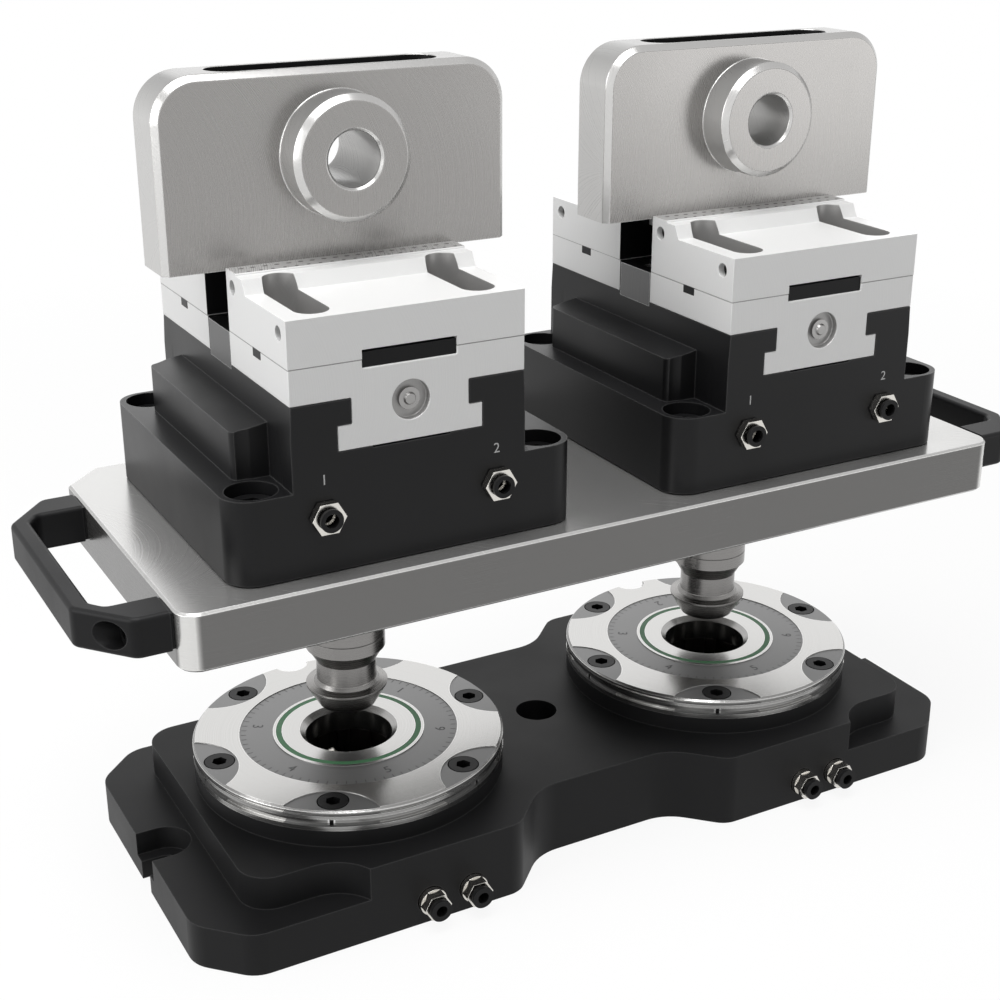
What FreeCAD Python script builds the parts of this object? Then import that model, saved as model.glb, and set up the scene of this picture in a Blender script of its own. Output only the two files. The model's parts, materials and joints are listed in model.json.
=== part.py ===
import FreeCAD, Part
import math
import os
from FreeCAD import Vector

# Zero point clamping plate with a lifted pallet that carries two pneumatic vises.
# Millimetres. Origin at the centre of the base plate's underside, +X along the plate, +Z up,
# air fittings on the -Y side. The pallet is drawn lifted off, with its pull studs let down.

# Base plate
MODULE_SPACING = 200.0
PLATE_LENGTH = 400.0
PLATE_WIDTH = 168.0
LEDGE_TOP = 20.0
PLATFORM_TOP = 35.5
PLATFORM_LENGTH = 353.0
PLATFORM_END_WIDTH = 141.0
PLATFORM_CORNER_RADIUS = 14.0
FLARE_START = 148.0
FLARE_END = 128.0
END_CHAMFER = 20.0
END_CORNER_RADIUS = 15.0
WAIST_WIDTH = 126.0
WAIST_SLOPE_START = 56.0
WAIST_SHOULDER_RADIUS = 12.0
WAIST_HOLLOW_RADIUS = 24.0
CENTRE_HOLE_RADIUS = 10.0
END_SLOT_WIDTH = 12.0
END_SLOT_SEAT_WIDTH = 24.0
END_SLOT_SEAT_DEPTH = 21.2
END_SLOT_FLOOR = 9.0
COLLAR_RADIUS = 71.0
COLLAR_TOP = 43.5
CHAMBER_RADIUS = 55.0
CHAMBER_FLOOR = 8.0

# Receiver module
HOUSING_RADIUS = 71.2
HOUSING_TOP = 53.5
HOUSING_SPIGOT_DEPTH = 2.5
RIM_CHAMFER = 1.1
RIM_LIP = 1.1
UPPER_GROOVE_WIDTH = 1.8
UPPER_GROOVE_DEPTH = 0.8
RIM_RIDGE = 1.5
LOWER_GROOVE_WIDTH = 3.5
LOWER_GROOVE_DEPTH = 1.6
RECEIVER_RADIUS = 20.0
RECEIVER_LEAD_IN = 2.5
INNER_RING_RADIUS = 30.8
SEAL_OUTER_RADIUS = 33.4
SEAL_DEPTH = 2.0
SEAL_SET_BACK = 0.1
FACE_RECESS_INNER_RADIUS = 34.8
FACE_RECESS_OUTER_RADIUS = 50.0
FACE_RECESS_DEPTH = 0.4
MODULE_SCREW_CIRCLE_RADIUS = 62.65
MODULE_SCREW_COUNT = 6
SCALLOP_RADIUS = 23.5
SCALLOP_CENTRE_RADIUS = 78.5
SCALLOP_DEPTH = 0.4
RIM_NOTCH_RADIUS = 8.0
FLANGE_SEAL_RADIUS = 56.7
FLANGE_SEAL_SECTION_RADIUS = 0.7
FLANGE_SEAL_CLEARANCE = 0.05

# Ball lock inside the module
CAGE_WALL = 3.9
CAGE_RIB_COUNT = 12
CAGE_GROOVE_DEPTH = 1.2
CAGE_GROOVE_WIDTH = 5.0
BALL_COUNT = 6
BALL_RADIUS = 5.0
BALL_HEIGHT = 27.5
BALL_FREE_CENTRE_RADIUS = 25.2
BALL_WINDOW_CLEARANCE = 0.1
LOCK_STROKE = 6.0
LOCK_PISTON_FLOOR_GAP = 0.2
LOCK_PISTON_HEIGHT = 26.3
LOCK_PISTON_CLEARANCE = 0.1
LOCK_LAND_CLEARANCE = 0.4
LOCK_WIDE_CLEARANCE = 0.2
LOCK_CONE_CLEARANCE = 0.05
SPRING_POCKET_INNER_RADIUS = 36.5
SPRING_POCKET_OUTER_RADIUS = 50.0
SPRING_POCKET_FLOOR = 28.0
SPRING_SIDE_CLEARANCE = 1.0
SPRING_DISC_COUNT = 4
SPRING_DISC_WAIST = 1.4
PISTON_SEAL_GROOVE_WIDTH = 3.0
PISTON_SEAL_GROOVE_DEPTH = 2.0

# Pull stud, let down from the pallet
STUD_BOTTOM = 68.0
STUD_TIP_RADIUS = 13.0
STUD_SHOULDER_RADIUS = 18.5
STUD_SHOULDER_HEIGHT = 9.4
STUD_SHOULDER_EDGE = 0.8
STUD_NECK_RADIUS = 13.6
STUD_NECK_START = 11.6
STUD_NECK_END = 22.0
STUD_CONE_END = 28.7
STUD_COLLAR_RADIUS = 18.0
STUD_HEIGHT = 44.0
STUD_LINE_HEIGHT = 34.5
STUD_LINE_DEPTH = 0.3
STUD_BORE_CLEARANCE = 0.3
STUD_NECK_FILLET = 1.2

# Pallet
PALLET_LENGTH = 401.2
PALLET_WIDTH = 169.6
PALLET_BOTTOM = 144.2
PALLET_TOP = 168.6
PALLET_BACK_CHAMFER = 16.4
PALLET_CORNER_RADIUS = 9.0
PALLET_EDGE = 1.0
STUD_SEAT_DEPTH = 2.8
STUD_SEAT_CLEARANCE = 0.3
STUD_SCREW_END = 104.6

# Handles
HANDLE_BOTTOM = 151.5
HANDLE_TOP = 168.3
HANDLE_CENTRE_Y = -9.4
HANDLE_HALF_LENGTH = 68.0
HANDLE_REACH = 33.0
HANDLE_ARM_WIDTH = 17.5
HANDLE_BAR_WIDTH = 8.0
HANDLE_CHAMFER_X = 18.0
HANDLE_CHAMFER_Y = 21.5
HANDLE_INNER_CHAMFER_X = 4.5
HANDLE_INNER_CHAMFER_Y = 6.0
HANDLE_OUTER_CORNER_RADIUS = 6.0
HANDLE_INNER_CORNER_RADIUS = 4.0
HANDLE_EDGE_RADIUS = 2.0
HANDLE_FOOT_LENGTH = 1.2
HANDLE_FOOT_SET_BACK = 1.0
HANDLE_SCREW_SEAT = 11.0
HANDLE_SEAT_RADIUS = 5.75

# Vise body
VISE_LENGTH = 151.0
VISE_WIDTH = 149.0
FLANGE_TOP = 204.0
FLANGE_CORNER_RADIUS = 12.0
FLANGE_FOOT_CHAMFER = 0.8
TOWER_WIDTH = 100.4
TOWER_TOP = 238.3
TOWER_CREASE = 0.6
RIB_REACH = 65.0
RIB_HALF_LENGTH = 51.0
RIB_TOP_INNER = 226.0
RIB_TOP_OUTER = 223.5
RIB_CORNER_RADIUS = 4.0
VISE_SCREW_SPACING = 125.0
VISE_SCREW_POCKET_RADIUS = 12.5
VISE_SCREW_SEAT_CLEARANCE = 1.3
VISE_SCREW_SEAT = 187.0
CYLINDER_RADIUS = 45.0
CYLINDER_TOP = 206.0
CYLINDER_COVER_RADIUS = 48.0
CYLINDER_COVER_THICKNESS = 6.0
PISTON_BOTTOM = 177.0
PISTON_THICKNESS = 10.0
PISTON_CLEARANCE = 0.1
WEDGE_HALF_WIDTH = 14.0
WEDGE_CLEARANCE = 0.2
WEDGE_TOP = 228.0
WEDGE_TOP_HALF = 4.0
WEDGE_FOOT_HALF = 15.0
WEDGE_SLOPE = 0.5
WEDGE_RIB_START = 208.0
WEDGE_RIB_NECK = 3.0
WEDGE_RIB_HEAD = 6.0
WEDGE_RIB_NECK_HALF = 4.0
WEDGE_RIB_HEAD_HALF = 7.0
WEDGE_OPENING_HALF = 24.0
AIR_WAY_RADIUS = 1.5
AIR_WAY_OVERRUN = 6.0

# Jaw guide and jaws
SLOT_FLOOR = 218.0
SLOT_HEAD_TOP = 228.3
SLOT_HEAD_HALF = 31.1
SLOT_NECK_HALF = 25.1
SLOT_CLEARANCE = 0.1
SLOT_RELIEF_HALF = 16.5
SLOT_RELIEF_DEPTH = 0.6
JAW_HALF_WIDTH = 49.9
JAW_OUTER = 74.4
JAW_INNER = 12.5
BASE_JAW_TOP = 252.8
TOP_JAW_FLAT = 271.4
TOP_JAW_PLATEAU = 277.1
TOP_JAW_GRIP_TOP = 278.0
SLANT_OUTER = 33.5
SLANT_INNER = 30.3
GRIP_STRIP_OUTER = 24.0
GRIP_FACE = 13.1
SUPPORT_STRIP_TOP = 276.7
SUPPORT_STRIP_HEIGHT = 9.0
SUPPORT_STRIP_THICKNESS = 4.0
SUPPORT_STRIP_HALF_LENGTH = 34.0
GRIP_EDGE_RADIUS = 0.6
SCOOP_OFFSET = 35.0
SCOOP_RADIUS = 7.0
SCOOP_OUTER_CENTRE = 62.5
SCOOP_INNER_CENTRE = 33.0
SCOOP_FLOOR = 258.5
NIPPLE_HEIGHT = 234.0
NIPPLE_POCKET_RADIUS = 8.0
NIPPLE_POCKET_DEPTH = 3.0
NIPPLE_RADIUS = 4.5
NIPPLE_CONE_FOOT_RADIUS = 3.6
NIPPLE_CONE_TIP_RADIUS = 2.0
NIPPLE_CONE_SET_BACK = 0.5
FACE_KEY_HALF = 20.0
FACE_KEY_BOTTOM = 249.3
FACE_KEY_TOP = 255.3
FACE_KEY_POCKET_TOP = 256.5
FACE_KEY_DEPTH = 9.0
FACE_KEY_SET_BACK = 0.8
CROSS_KEY_Y = 42.6
CROSS_KEY_WIDTH = 8.0
CROSS_KEY_DEPTH = 3.5
SET_SCREW_RADIUS = 3.0
SET_SCREW_INNER_Y = 19.4
SET_SCREW_INNER_Z = 271.5
SET_SCREW_OUTER_Y = 66.5
SET_SCREW_OUTER_Z = 265.0
SET_SCREW_HOLE_DEPTH = 9.0
SET_SCREW_LENGTH = 6.0
CENTRE_COVER_HALF_WIDTH = 49.75
CENTRE_COVER_HALF_LENGTH = 12.1
CENTRE_COVER_BOTTOM = 236.5
CENTRE_COVER_TOP = 252.0
CENTRE_COVER_SCREW_RADIUS = 2.5
CENTRE_COVER_SCREW_INSET = 8.0
CENTRE_COVER_SCREW_DEPTH = 1.0

# Workpieces
WORK_LENGTH = 150.0
WORK_THICKNESS = 26.0
WORK_BOTTOM = 276.8
WORK_TOP = 352.0
WORK_CORNER_RADIUS = 18.0
WORK_EDGE = 2.5
BOSS_RADIUS = 25.0
BOSS_HEIGHT = 318.4
BOSS_REACH = 16.0
BOSS_EDGE = 2.5
BORE_RADIUS = 11.0
BORE_EDGE = 1.2
WORK_SLOT_LENGTH = 98.0
WORK_SLOT_WIDTH = 18.6
WORK_SLOT_DEPTH = 18.0

# Push-in fittings
BASE_PORT_OFFSETS = (0.0, 20.0)
BASE_PORT_HEIGHT = 11.0
BASE_PORT_SEAT_RADIUS = 6.5
BASE_PORT_SEAT_DEPTH = 1.0
BASE_FITTING = {"thread": 4.9, "grip": 9.0, "collar": 6.2, "collar_length": 2.6, "hex": 11.0,
                "hex_length": 4.6, "ring": 4.9, "ring_head": 1.8, "ring_tail": 4.0, "tube": 2.6}
VISE_PORT_OFFSET = 37.3
VISE_PORT_HEIGHT = 193.0
VISE_PORT_DROP = 16.8
VISE_PORT_TURN = 36.0
VISE_PORT_OVERRUN = 20.0
VISE_FITTING = {"thread": 4.9, "grip": 9.0, "collar": 5.9, "collar_length": 0.6, "hex": 12.4,
                "hex_length": 3.6, "ring": 4.75, "ring_head": 1.2, "ring_tail": 3.6, "tube": 2.9}
RING_TRAVEL = 1.0
RING_TRAVEL_GAP = 0.2
RING_CLEARANCE = 0.1
TUBE_DEPTH = 30.0

# Socket screws: shank radius, head radius, head height, key across flats, key depth
M6 = {"shank": 3.0, "head": 5.0, "height": 6.0, "key": 5.0, "key_depth": 3.0}
M8 = {"shank": 4.0, "head": 6.5, "height": 8.0, "key": 6.0, "key_depth": 4.0}
M8_LOW = {"shank": 4.0, "head": 6.5, "height": 5.0, "key": 5.0, "key_depth": 2.6}
M12 = {"shank": 6.0, "head": 9.0, "height": 12.0, "key": 10.0, "key_depth": 6.0}
SHANK_CLEARANCE = 0.3
HEAD_CLEARANCE = 0.5
THREAD_CLEARANCE = 0.05
MODULE_SCREW_HEAD_DROP = 0.3
MODULE_SCREW_LENGTH = 20.0
HANDLE_SCREW_LENGTH = 24.0
VISE_SCREW_GRIP = 18.0
JAW_SCREW_GRIP = 13.0

UP = Vector(0, 0, 1)
MODULE_X = {"left": -MODULE_SPACING / 2, "right": MODULE_SPACING / 2}
SIDES = {"front": -1, "rear": 1}
CAGE_RADIUS = RECEIVER_RADIUS + CAGE_WALL
HOUSING_BOTTOM = COLLAR_TOP - HOUSING_SPIGOT_DEPTH


def cylinder(x, y, z, radius, height, axis=UP):
    return Part.makeCylinder(radius, height, Vector(x, y, z), axis)


def box(x0, x1, y0, y1, z0, z1):
    return Part.makeBox(x1 - x0, y1 - y0, z1 - z0, Vector(x0, y0, z0))


def prism(points, direction):
    corners = [Vector(*point) for point in points]
    wire = Part.makePolygon(corners + corners[:1])
    return Part.Face(wire).extrude(Vector(*direction))


def rounded_outline(corners, z):
    """Closed wire through corners (x, y, radius), each rounded by a tangent arc."""
    edges = []
    starts = []
    ends = []
    for index, (x, y, radius) in enumerate(corners):
        here = Vector(x, y, z)
        before = Vector(*corners[index - 1][:2], z) - here
        after = Vector(*corners[(index + 1) % len(corners)][:2], z) - here
        before.normalize()
        after.normalize()
        half_angle = before.getAngle(after) / 2
        reach = radius / math.tan(half_angle) if radius else 0
        start = here + before * reach
        end = here + after * reach
        starts.append(start)
        ends.append(end)
        if radius:
            bisector = before + after
            bisector.normalize()
            centre_distance = radius / math.sin(half_angle)
            middle = here + bisector * (centre_distance - radius)
            edges.append((index, Part.Arc(start, middle, end).toShape()))
    outline = []
    arcs = dict(edges)
    for index in range(len(corners)):
        if index in arcs:
            outline.append(arcs[index])
        following = (index + 1) % len(corners)
        if ends[index].distanceToPoint(starts[following]) > 1e-6:
            outline.append(Part.makeLine(ends[index], starts[following]))
    return Part.Wire(Part.__sortEdges__(outline))


def slab(corners, z0, z1):
    return Part.Face(rounded_outline(corners, z0)).extrude(UP * (z1 - z0))


def mirrored_quadrants(quadrant):
    """Corners of a shape symmetric about X and Y, from its +X +Y quarter."""
    back_left = [(-x, y, radius) for x, y, radius in reversed(quadrant) if x > 0]
    front_left = [(-x, -y, radius) for x, y, radius in quadrant if x > 0]
    front_right = [(x, -y, radius) for x, y, radius in reversed(quadrant) if x > 0]
    return quadrant + back_left + front_left + front_right


def revolved(profile, x, y=0.0):
    """Solid of revolution about the vertical line at x, y; profile holds (radius, z)."""
    corners = [Vector(x + radius, y, z) for radius, z in profile]
    face = Part.Face(Part.makePolygon(corners + corners[:1]))
    return face.revolve(Vector(x, y, 0), UP, 360)


def fused(shapes):
    whole = shapes[0]
    if len(shapes) > 1:
        whole = whole.fuse(shapes[1:])
    return whole.removeSplitter()


def group(shapes):
    return Part.makeCompound(shapes)


def edges_where(shape, test):
    return [edge for edge in shape.Edges if test(edge)]


def hexagon(x, y, z, across_flats, length, axis):
    """Six-sided bar whose first face centre is at x, y, z, along axis."""
    direction = Vector(axis).normalize()
    side = Vector(1, 0, 0) if abs(direction.x) < 0.5 else Vector(0, 1, 0)
    across = direction.cross(side)
    radius = across_flats / math.sqrt(3)
    centre = Vector(x, y, z)
    corners = []
    for step in range(6):
        angle = math.radians(60 * step)
        corners.append(centre + side * (radius * math.cos(angle)) + across * (radius * math.sin(angle)))
    return Part.Face(Part.makePolygon(corners + corners[:1])).extrude(direction * length)


def socket_screw(seat, direction, length, size):
    """Socket head screw: seat is the point under the head, direction points from head to tip."""
    axis = Vector(*direction)
    head = Part.makeCylinder(size["head"], size["height"], seat - axis * size["height"], axis)
    shank = Part.makeCylinder(size["shank"] - THREAD_CLEARANCE, length, seat, axis)
    top = seat - axis * size["height"]
    key = hexagon(top.x, top.y, top.z, size["key"], size["key_depth"], axis)
    return fused([head, shank]).cut(key)


def polar(x, radius, angle):
    return x + radius * math.cos(angle), radius * math.sin(angle)


def module_screw_places(x):
    for step in range(MODULE_SCREW_COUNT):
        yield polar(x, MODULE_SCREW_CIRCLE_RADIUS, math.tau * step / MODULE_SCREW_COUNT)


def base_ports():
    for side in MODULE_X:
        for offset in BASE_PORT_OFFSETS:
            yield MODULE_X[side] + offset


# Base plate


def ledge_corners():
    half_width = PLATE_WIDTH / 2
    half_waist = WAIST_WIDTH / 2
    slope_end = WAIST_SLOPE_START - (half_width - half_waist)
    return mirrored_quadrants([
        (PLATE_LENGTH / 2, half_width - END_CHAMFER, END_CORNER_RADIUS),
        (PLATE_LENGTH / 2 - END_CHAMFER, half_width, END_CORNER_RADIUS),
        (WAIST_SLOPE_START, half_width, WAIST_SHOULDER_RADIUS),
        (slope_end, half_waist, WAIST_HOLLOW_RADIUS),
    ])


def platform_end_relief(sign):
    """Material outside the narrow end of the platform: end wall, round corners, concave flares."""
    half_width = PLATE_WIDTH / 2
    half_end = PLATFORM_END_WIDTH / 2
    end = PLATFORM_LENGTH / 2
    run = FLARE_START - FLARE_END
    rise = half_width - half_end
    flare_radius = (run * run + rise * rise) / (2 * rise)
    margin = PLATE_WIDTH / 2 + PLATE_LENGTH / 2
    keep = slab([(FLARE_END - run, half_end, 0), (end, half_end, PLATFORM_CORNER_RADIUS),
                 (end, -half_end, PLATFORM_CORNER_RADIUS), (FLARE_END - run, -half_end, 0)],
                LEDGE_TOP, PLATFORM_TOP)
    flares = box(FLARE_END - run, FLARE_START, -half_width, half_width, LEDGE_TOP, PLATFORM_TOP)
    for side in (-1, 1):
        flares = flares.cut(cylinder(FLARE_START, side * (half_end + flare_radius), LEDGE_TOP,
                                     flare_radius, PLATFORM_TOP - LEDGE_TOP))
    outside = box(FLARE_END, margin, -margin, margin, LEDGE_TOP, PLATFORM_TOP)
    relief = outside.cut(fused([keep, flares]))
    if sign < 0:
        relief = relief.mirror(Vector(0, 0, 0), Vector(1, 0, 0))
    return relief


def end_slot(sign):
    half = PLATE_LENGTH / 2
    seat_half = END_SLOT_SEAT_WIDTH / 2
    slot_half = END_SLOT_WIDTH / 2
    centre = half - END_SLOT_SEAT_DEPTH + seat_half
    seat = fused([cylinder(centre, 0, END_SLOT_FLOOR, seat_half, PLATFORM_TOP),
                  box(centre, half + 1, -seat_half, seat_half, END_SLOT_FLOOR, PLATFORM_TOP)])
    slot = fused([cylinder(centre, 0, -1, slot_half, PLATFORM_TOP),
                  box(centre, half + 1, -slot_half, slot_half, -1, PLATFORM_TOP)])
    cut = fused([seat, slot])
    if sign < 0:
        cut = cut.mirror(Vector(0, 0, 0), Vector(1, 0, 0))
    return cut


def base_plate():
    body = slab(ledge_corners(), 0, PLATFORM_TOP)
    body = body.cut([platform_end_relief(1), platform_end_relief(-1)])
    collars = [cylinder(x, 0, LEDGE_TOP, COLLAR_RADIUS, COLLAR_TOP - LEDGE_TOP) for x in MODULE_X.values()]
    body = fused([body] + collars)
    cuts = [end_slot(1), end_slot(-1), cylinder(0, 0, -1, CENTRE_HOLE_RADIUS, PLATFORM_TOP + 2)]
    for x in MODULE_X.values():
        cuts.append(cylinder(x, 0, CHAMBER_FLOOR, CHAMBER_RADIUS, COLLAR_TOP))
        for hole_x, hole_y in module_screw_places(x):
            depth = MODULE_SCREW_LENGTH
            seat = HOUSING_TOP - MODULE_SCREW_HEAD_DROP - M8["height"]
            cuts.append(cylinder(hole_x, hole_y, seat - depth - 1, M8["shank"], depth + 2))
    front = -PLATE_WIDTH / 2
    inward = Vector(0, 1, 0)
    for x in base_ports():
        cuts.append(cylinder(x, front - 1, BASE_PORT_HEIGHT, BASE_PORT_SEAT_RADIUS,
                             BASE_PORT_SEAT_DEPTH + 1, inward))
        cuts.append(cylinder(x, front, BASE_PORT_HEIGHT, BASE_FITTING["thread"] + THREAD_CLEARANCE,
                             BASE_PORT_SEAT_DEPTH + BASE_FITTING["grip"] + 1, inward))
        cuts.append(cylinder(x, front, BASE_PORT_HEIGHT, AIR_WAY_RADIUS,
                             PLATE_WIDTH / 2 - CHAMBER_RADIUS + AIR_WAY_OVERRUN, inward))
    return body.cut(cuts)


# Receiver module


def module_housing(x):
    lip = HOUSING_TOP - RIM_LIP
    groove = lip - UPPER_GROOVE_WIDTH
    ridge = groove - RIM_RIDGE
    lower = ridge - LOWER_GROOVE_WIDTH
    upper_radius = HOUSING_RADIUS - UPPER_GROOVE_DEPTH
    lower_radius = HOUSING_RADIUS - LOWER_GROOVE_DEPTH
    face = HOUSING_TOP - FACE_RECESS_DEPTH
    lead = RECEIVER_RADIUS + RECEIVER_LEAD_IN
    spigot = CHAMBER_RADIUS - THREAD_CLEARANCE
    seal_inner = FLANGE_SEAL_RADIUS - FLANGE_SEAL_SECTION_RADIUS
    seal_outer = FLANGE_SEAL_RADIUS + FLANGE_SEAL_SECTION_RADIUS
    seal_roof = COLLAR_TOP + 2 * FLANGE_SEAL_SECTION_RADIUS
    ring = revolved([
        (RECEIVER_RADIUS, HOUSING_BOTTOM), (spigot, HOUSING_BOTTOM), (spigot, COLLAR_TOP),
        (seal_inner, COLLAR_TOP), (seal_inner, seal_roof), (seal_outer, seal_roof), (seal_outer, COLLAR_TOP),
        (HOUSING_RADIUS, COLLAR_TOP), (HOUSING_RADIUS, lower), (lower_radius, lower),
        (lower_radius, ridge), (HOUSING_RADIUS, ridge), (HOUSING_RADIUS, groove),
        (upper_radius, groove), (upper_radius, lip), (HOUSING_RADIUS, lip),
        (HOUSING_RADIUS - RIM_CHAMFER, HOUSING_TOP),
        (FACE_RECESS_OUTER_RADIUS, HOUSING_TOP), (FACE_RECESS_OUTER_RADIUS, face),
        (FACE_RECESS_INNER_RADIUS, face), (FACE_RECESS_INNER_RADIUS, HOUSING_TOP),
        (SEAL_OUTER_RADIUS, HOUSING_TOP), (SEAL_OUTER_RADIUS, HOUSING_TOP - SEAL_DEPTH),
        (INNER_RING_RADIUS, HOUSING_TOP - SEAL_DEPTH), (INNER_RING_RADIUS, HOUSING_TOP),
        (lead, HOUSING_TOP), (RECEIVER_RADIUS, HOUSING_TOP - RECEIVER_LEAD_IN),
    ], x)
    cuts = []
    seat = HOUSING_TOP - MODULE_SCREW_HEAD_DROP - M8["height"]
    for step, (hole_x, hole_y) in enumerate(module_screw_places(x)):
        angle = math.tau * step / MODULE_SCREW_COUNT
        scallop_x, scallop_y = polar(x, SCALLOP_CENTRE_RADIUS, angle)
        cuts.append(cylinder(scallop_x, scallop_y, HOUSING_TOP - SCALLOP_DEPTH, SCALLOP_RADIUS, 1))
        cuts.append(cylinder(hole_x, hole_y, COLLAR_TOP - 1, M8["shank"] + SHANK_CLEARANCE, HOUSING_TOP))
        cuts.append(cylinder(hole_x, hole_y, seat, M8["head"] + HEAD_CLEARANCE, HOUSING_TOP))
    cuts.append(cylinder(x, HOUSING_RADIUS, COLLAR_TOP, RIM_NOTCH_RADIUS, HOUSING_TOP))
    return ring.cut(cuts)


def module_seals():
    seals = []
    for x in MODULE_X.values():
        bottom = HOUSING_TOP - SEAL_DEPTH
        top = HOUSING_TOP - SEAL_SET_BACK
        seals.append(revolved([(INNER_RING_RADIUS, bottom), (SEAL_OUTER_RADIUS, bottom),
                               (SEAL_OUTER_RADIUS, top), (INNER_RING_RADIUS, top)], x))
        section = FLANGE_SEAL_SECTION_RADIUS - FLANGE_SEAL_CLEARANCE
        seals.append(Part.makeTorus(FLANGE_SEAL_RADIUS, section,
                                    Vector(x, 0, COLLAR_TOP + FLANGE_SEAL_SECTION_RADIUS), UP))
    return group(seals)


def module_screws():
    seat = HOUSING_TOP - MODULE_SCREW_HEAD_DROP - M8["height"]
    screws = []
    for x in MODULE_X.values():
        for hole_x, hole_y in module_screw_places(x):
            screws.append(socket_screw(Vector(hole_x, hole_y, seat), (0, 0, -1), MODULE_SCREW_LENGTH, M8))
    return group(screws)


def ball_angles():
    return [math.tau * (step + 0.5) / BALL_COUNT for step in range(BALL_COUNT)]


def ball_cage(x):
    height = HOUSING_BOTTOM - CHAMBER_FLOOR
    tube = cylinder(x, 0, CHAMBER_FLOOR, CAGE_RADIUS, height)
    cuts = [cylinder(x, 0, CHAMBER_FLOOR, RECEIVER_RADIUS, height)]
    for angle in ball_angles():
        direction = Vector(math.cos(angle), math.sin(angle), 0)
        window = BALL_RADIUS + BALL_WINDOW_CLEARANCE
        cuts.append(cylinder(x, 0, BALL_HEIGHT, window, CAGE_RADIUS + 1, direction))
    for step in range(CAGE_RIB_COUNT):
        groove = box(0, RECEIVER_RADIUS + CAGE_GROOVE_DEPTH, -CAGE_GROOVE_WIDTH / 2, CAGE_GROOVE_WIDTH / 2,
                     CHAMBER_FLOOR, HOUSING_BOTTOM)
        groove.rotate(Vector(0, 0, 0), UP, 360 * step / CAGE_RIB_COUNT)
        groove.translate(Vector(x, 0, 0))
        cuts.append(groove)
    return tube.cut(cuts)


def locking_ball(x, angle):
    ball_x, ball_y = polar(x, BALL_FREE_CENTRE_RADIUS, angle)
    return Part.makeSphere(BALL_RADIUS, Vector(ball_x, ball_y, BALL_HEIGHT))


def clamping_piston(x):
    """Ring piston whose inner cone drives the balls inwards when springs press it down."""
    bottom = CHAMBER_FLOOR + LOCK_STROKE + LOCK_PISTON_FLOOR_GAP
    top = bottom + LOCK_PISTON_HEIGHT
    outer = CHAMBER_RADIUS - LOCK_PISTON_CLEARANCE
    land = CAGE_RADIUS + LOCK_LAND_CLEARANCE
    wide = BALL_FREE_CENTRE_RADIUS + BALL_RADIUS + LOCK_WIDE_CLEARANCE
    reach = (BALL_RADIUS + LOCK_CONE_CLEARANCE) * math.sqrt(2)
    cone_sum = BALL_FREE_CENTRE_RADIUS + BALL_HEIGHT + reach
    groove_bottom = bottom + LOCK_STROKE
    groove_top = groove_bottom + PISTON_SEAL_GROOVE_WIDTH
    groove = outer - PISTON_SEAL_GROOVE_DEPTH
    return revolved([
        (wide, bottom), (outer, bottom), (outer, groove_bottom), (groove, groove_bottom),
        (groove, groove_top), (outer, groove_top), (outer, top), (SPRING_POCKET_OUTER_RADIUS, top),
        (SPRING_POCKET_OUTER_RADIUS, SPRING_POCKET_FLOOR),
        (SPRING_POCKET_INNER_RADIUS, SPRING_POCKET_FLOOR), (SPRING_POCKET_INNER_RADIUS, top),
        (land, top), (land, cone_sum - land), (wide, cone_sum - wide),
    ], x)


def spring_pack(x):
    """Stack of disc springs between the pocket in the piston and the housing."""
    inner = SPRING_POCKET_INNER_RADIUS + SPRING_SIDE_CLEARANCE
    outer = SPRING_POCKET_OUTER_RADIUS - SPRING_SIDE_CLEARANCE
    height = HOUSING_BOTTOM - SPRING_POCKET_FLOOR
    disc = height / SPRING_DISC_COUNT
    profile = []
    for step in range(SPRING_DISC_COUNT):
        z = SPRING_POCKET_FLOOR + disc * step
        profile.append((outer, z))
        profile.append((outer - SPRING_DISC_WAIST, z + disc / 2))
    profile.append((outer, HOUSING_BOTTOM))
    inner_side = [(inner + outer - radius, z) for radius, z in reversed(profile)]
    return revolved(profile + inner_side, x)


# Push-in fittings


def push_in_fitting(x, face, z, size, seat_depth=0.0):
    """Threaded body, collar and hexagon, bored for the release ring and the tube."""
    seat = face + seat_depth
    outward = Vector(0, -1, 0)
    shank_length = size["grip"] + size["collar_length"]
    shank = cylinder(x, seat + size["grip"], z, size["thread"], shank_length, outward)
    collar = cylinder(x, seat, z, size["collar"], size["collar_length"] + seat_depth, outward)
    nut_start = seat - size["collar_length"] - seat_depth
    nut = hexagon(x, nut_start, z, size["hex"], size["hex_length"], outward)
    nose = nut_start - size["hex_length"]
    body = fused([shank, collar, nut])
    bore = cylinder(x, nose, z, size["ring_tail"], size["hex_length"] + size["collar_length"], -outward)
    tube = cylinder(x, nose, z, size["tube"], TUBE_DEPTH, -outward)
    return body.cut([bore, tube])


def fitting_nose(face, size):
    return face - size["collar_length"] - size["hex_length"]


def release_ring(x, face, z, size):
    """Release ring standing off the hexagon by the travel that frees the tube."""
    nose = fitting_nose(face, size)
    outward = Vector(0, -1, 0)
    head_start = nose - RING_TRAVEL - RING_TRAVEL_GAP
    head = cylinder(x, head_start, z, size["ring"], size["ring_head"], outward)
    tail_radius = size["ring_tail"] - RING_CLEARANCE
    tail_depth = size["hex_length"] / 2
    tail_length = tail_depth + RING_TRAVEL + RING_TRAVEL_GAP + size["ring_head"] / 2
    tail = cylinder(x, nose + tail_depth, z, tail_radius, tail_length, outward)
    tube = cylinder(x, nose + tail_depth + 1, z, size["tube"], TUBE_DEPTH, outward)
    return fused([head, tail]).cut(tube)


def base_fittings():
    face = -PLATE_WIDTH / 2
    return group([push_in_fitting(x, face, BASE_PORT_HEIGHT, BASE_FITTING, BASE_PORT_SEAT_DEPTH)
                  for x in base_ports()])


def vise_ports(x):
    return [x - VISE_PORT_OFFSET, x + VISE_PORT_OFFSET]


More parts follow.
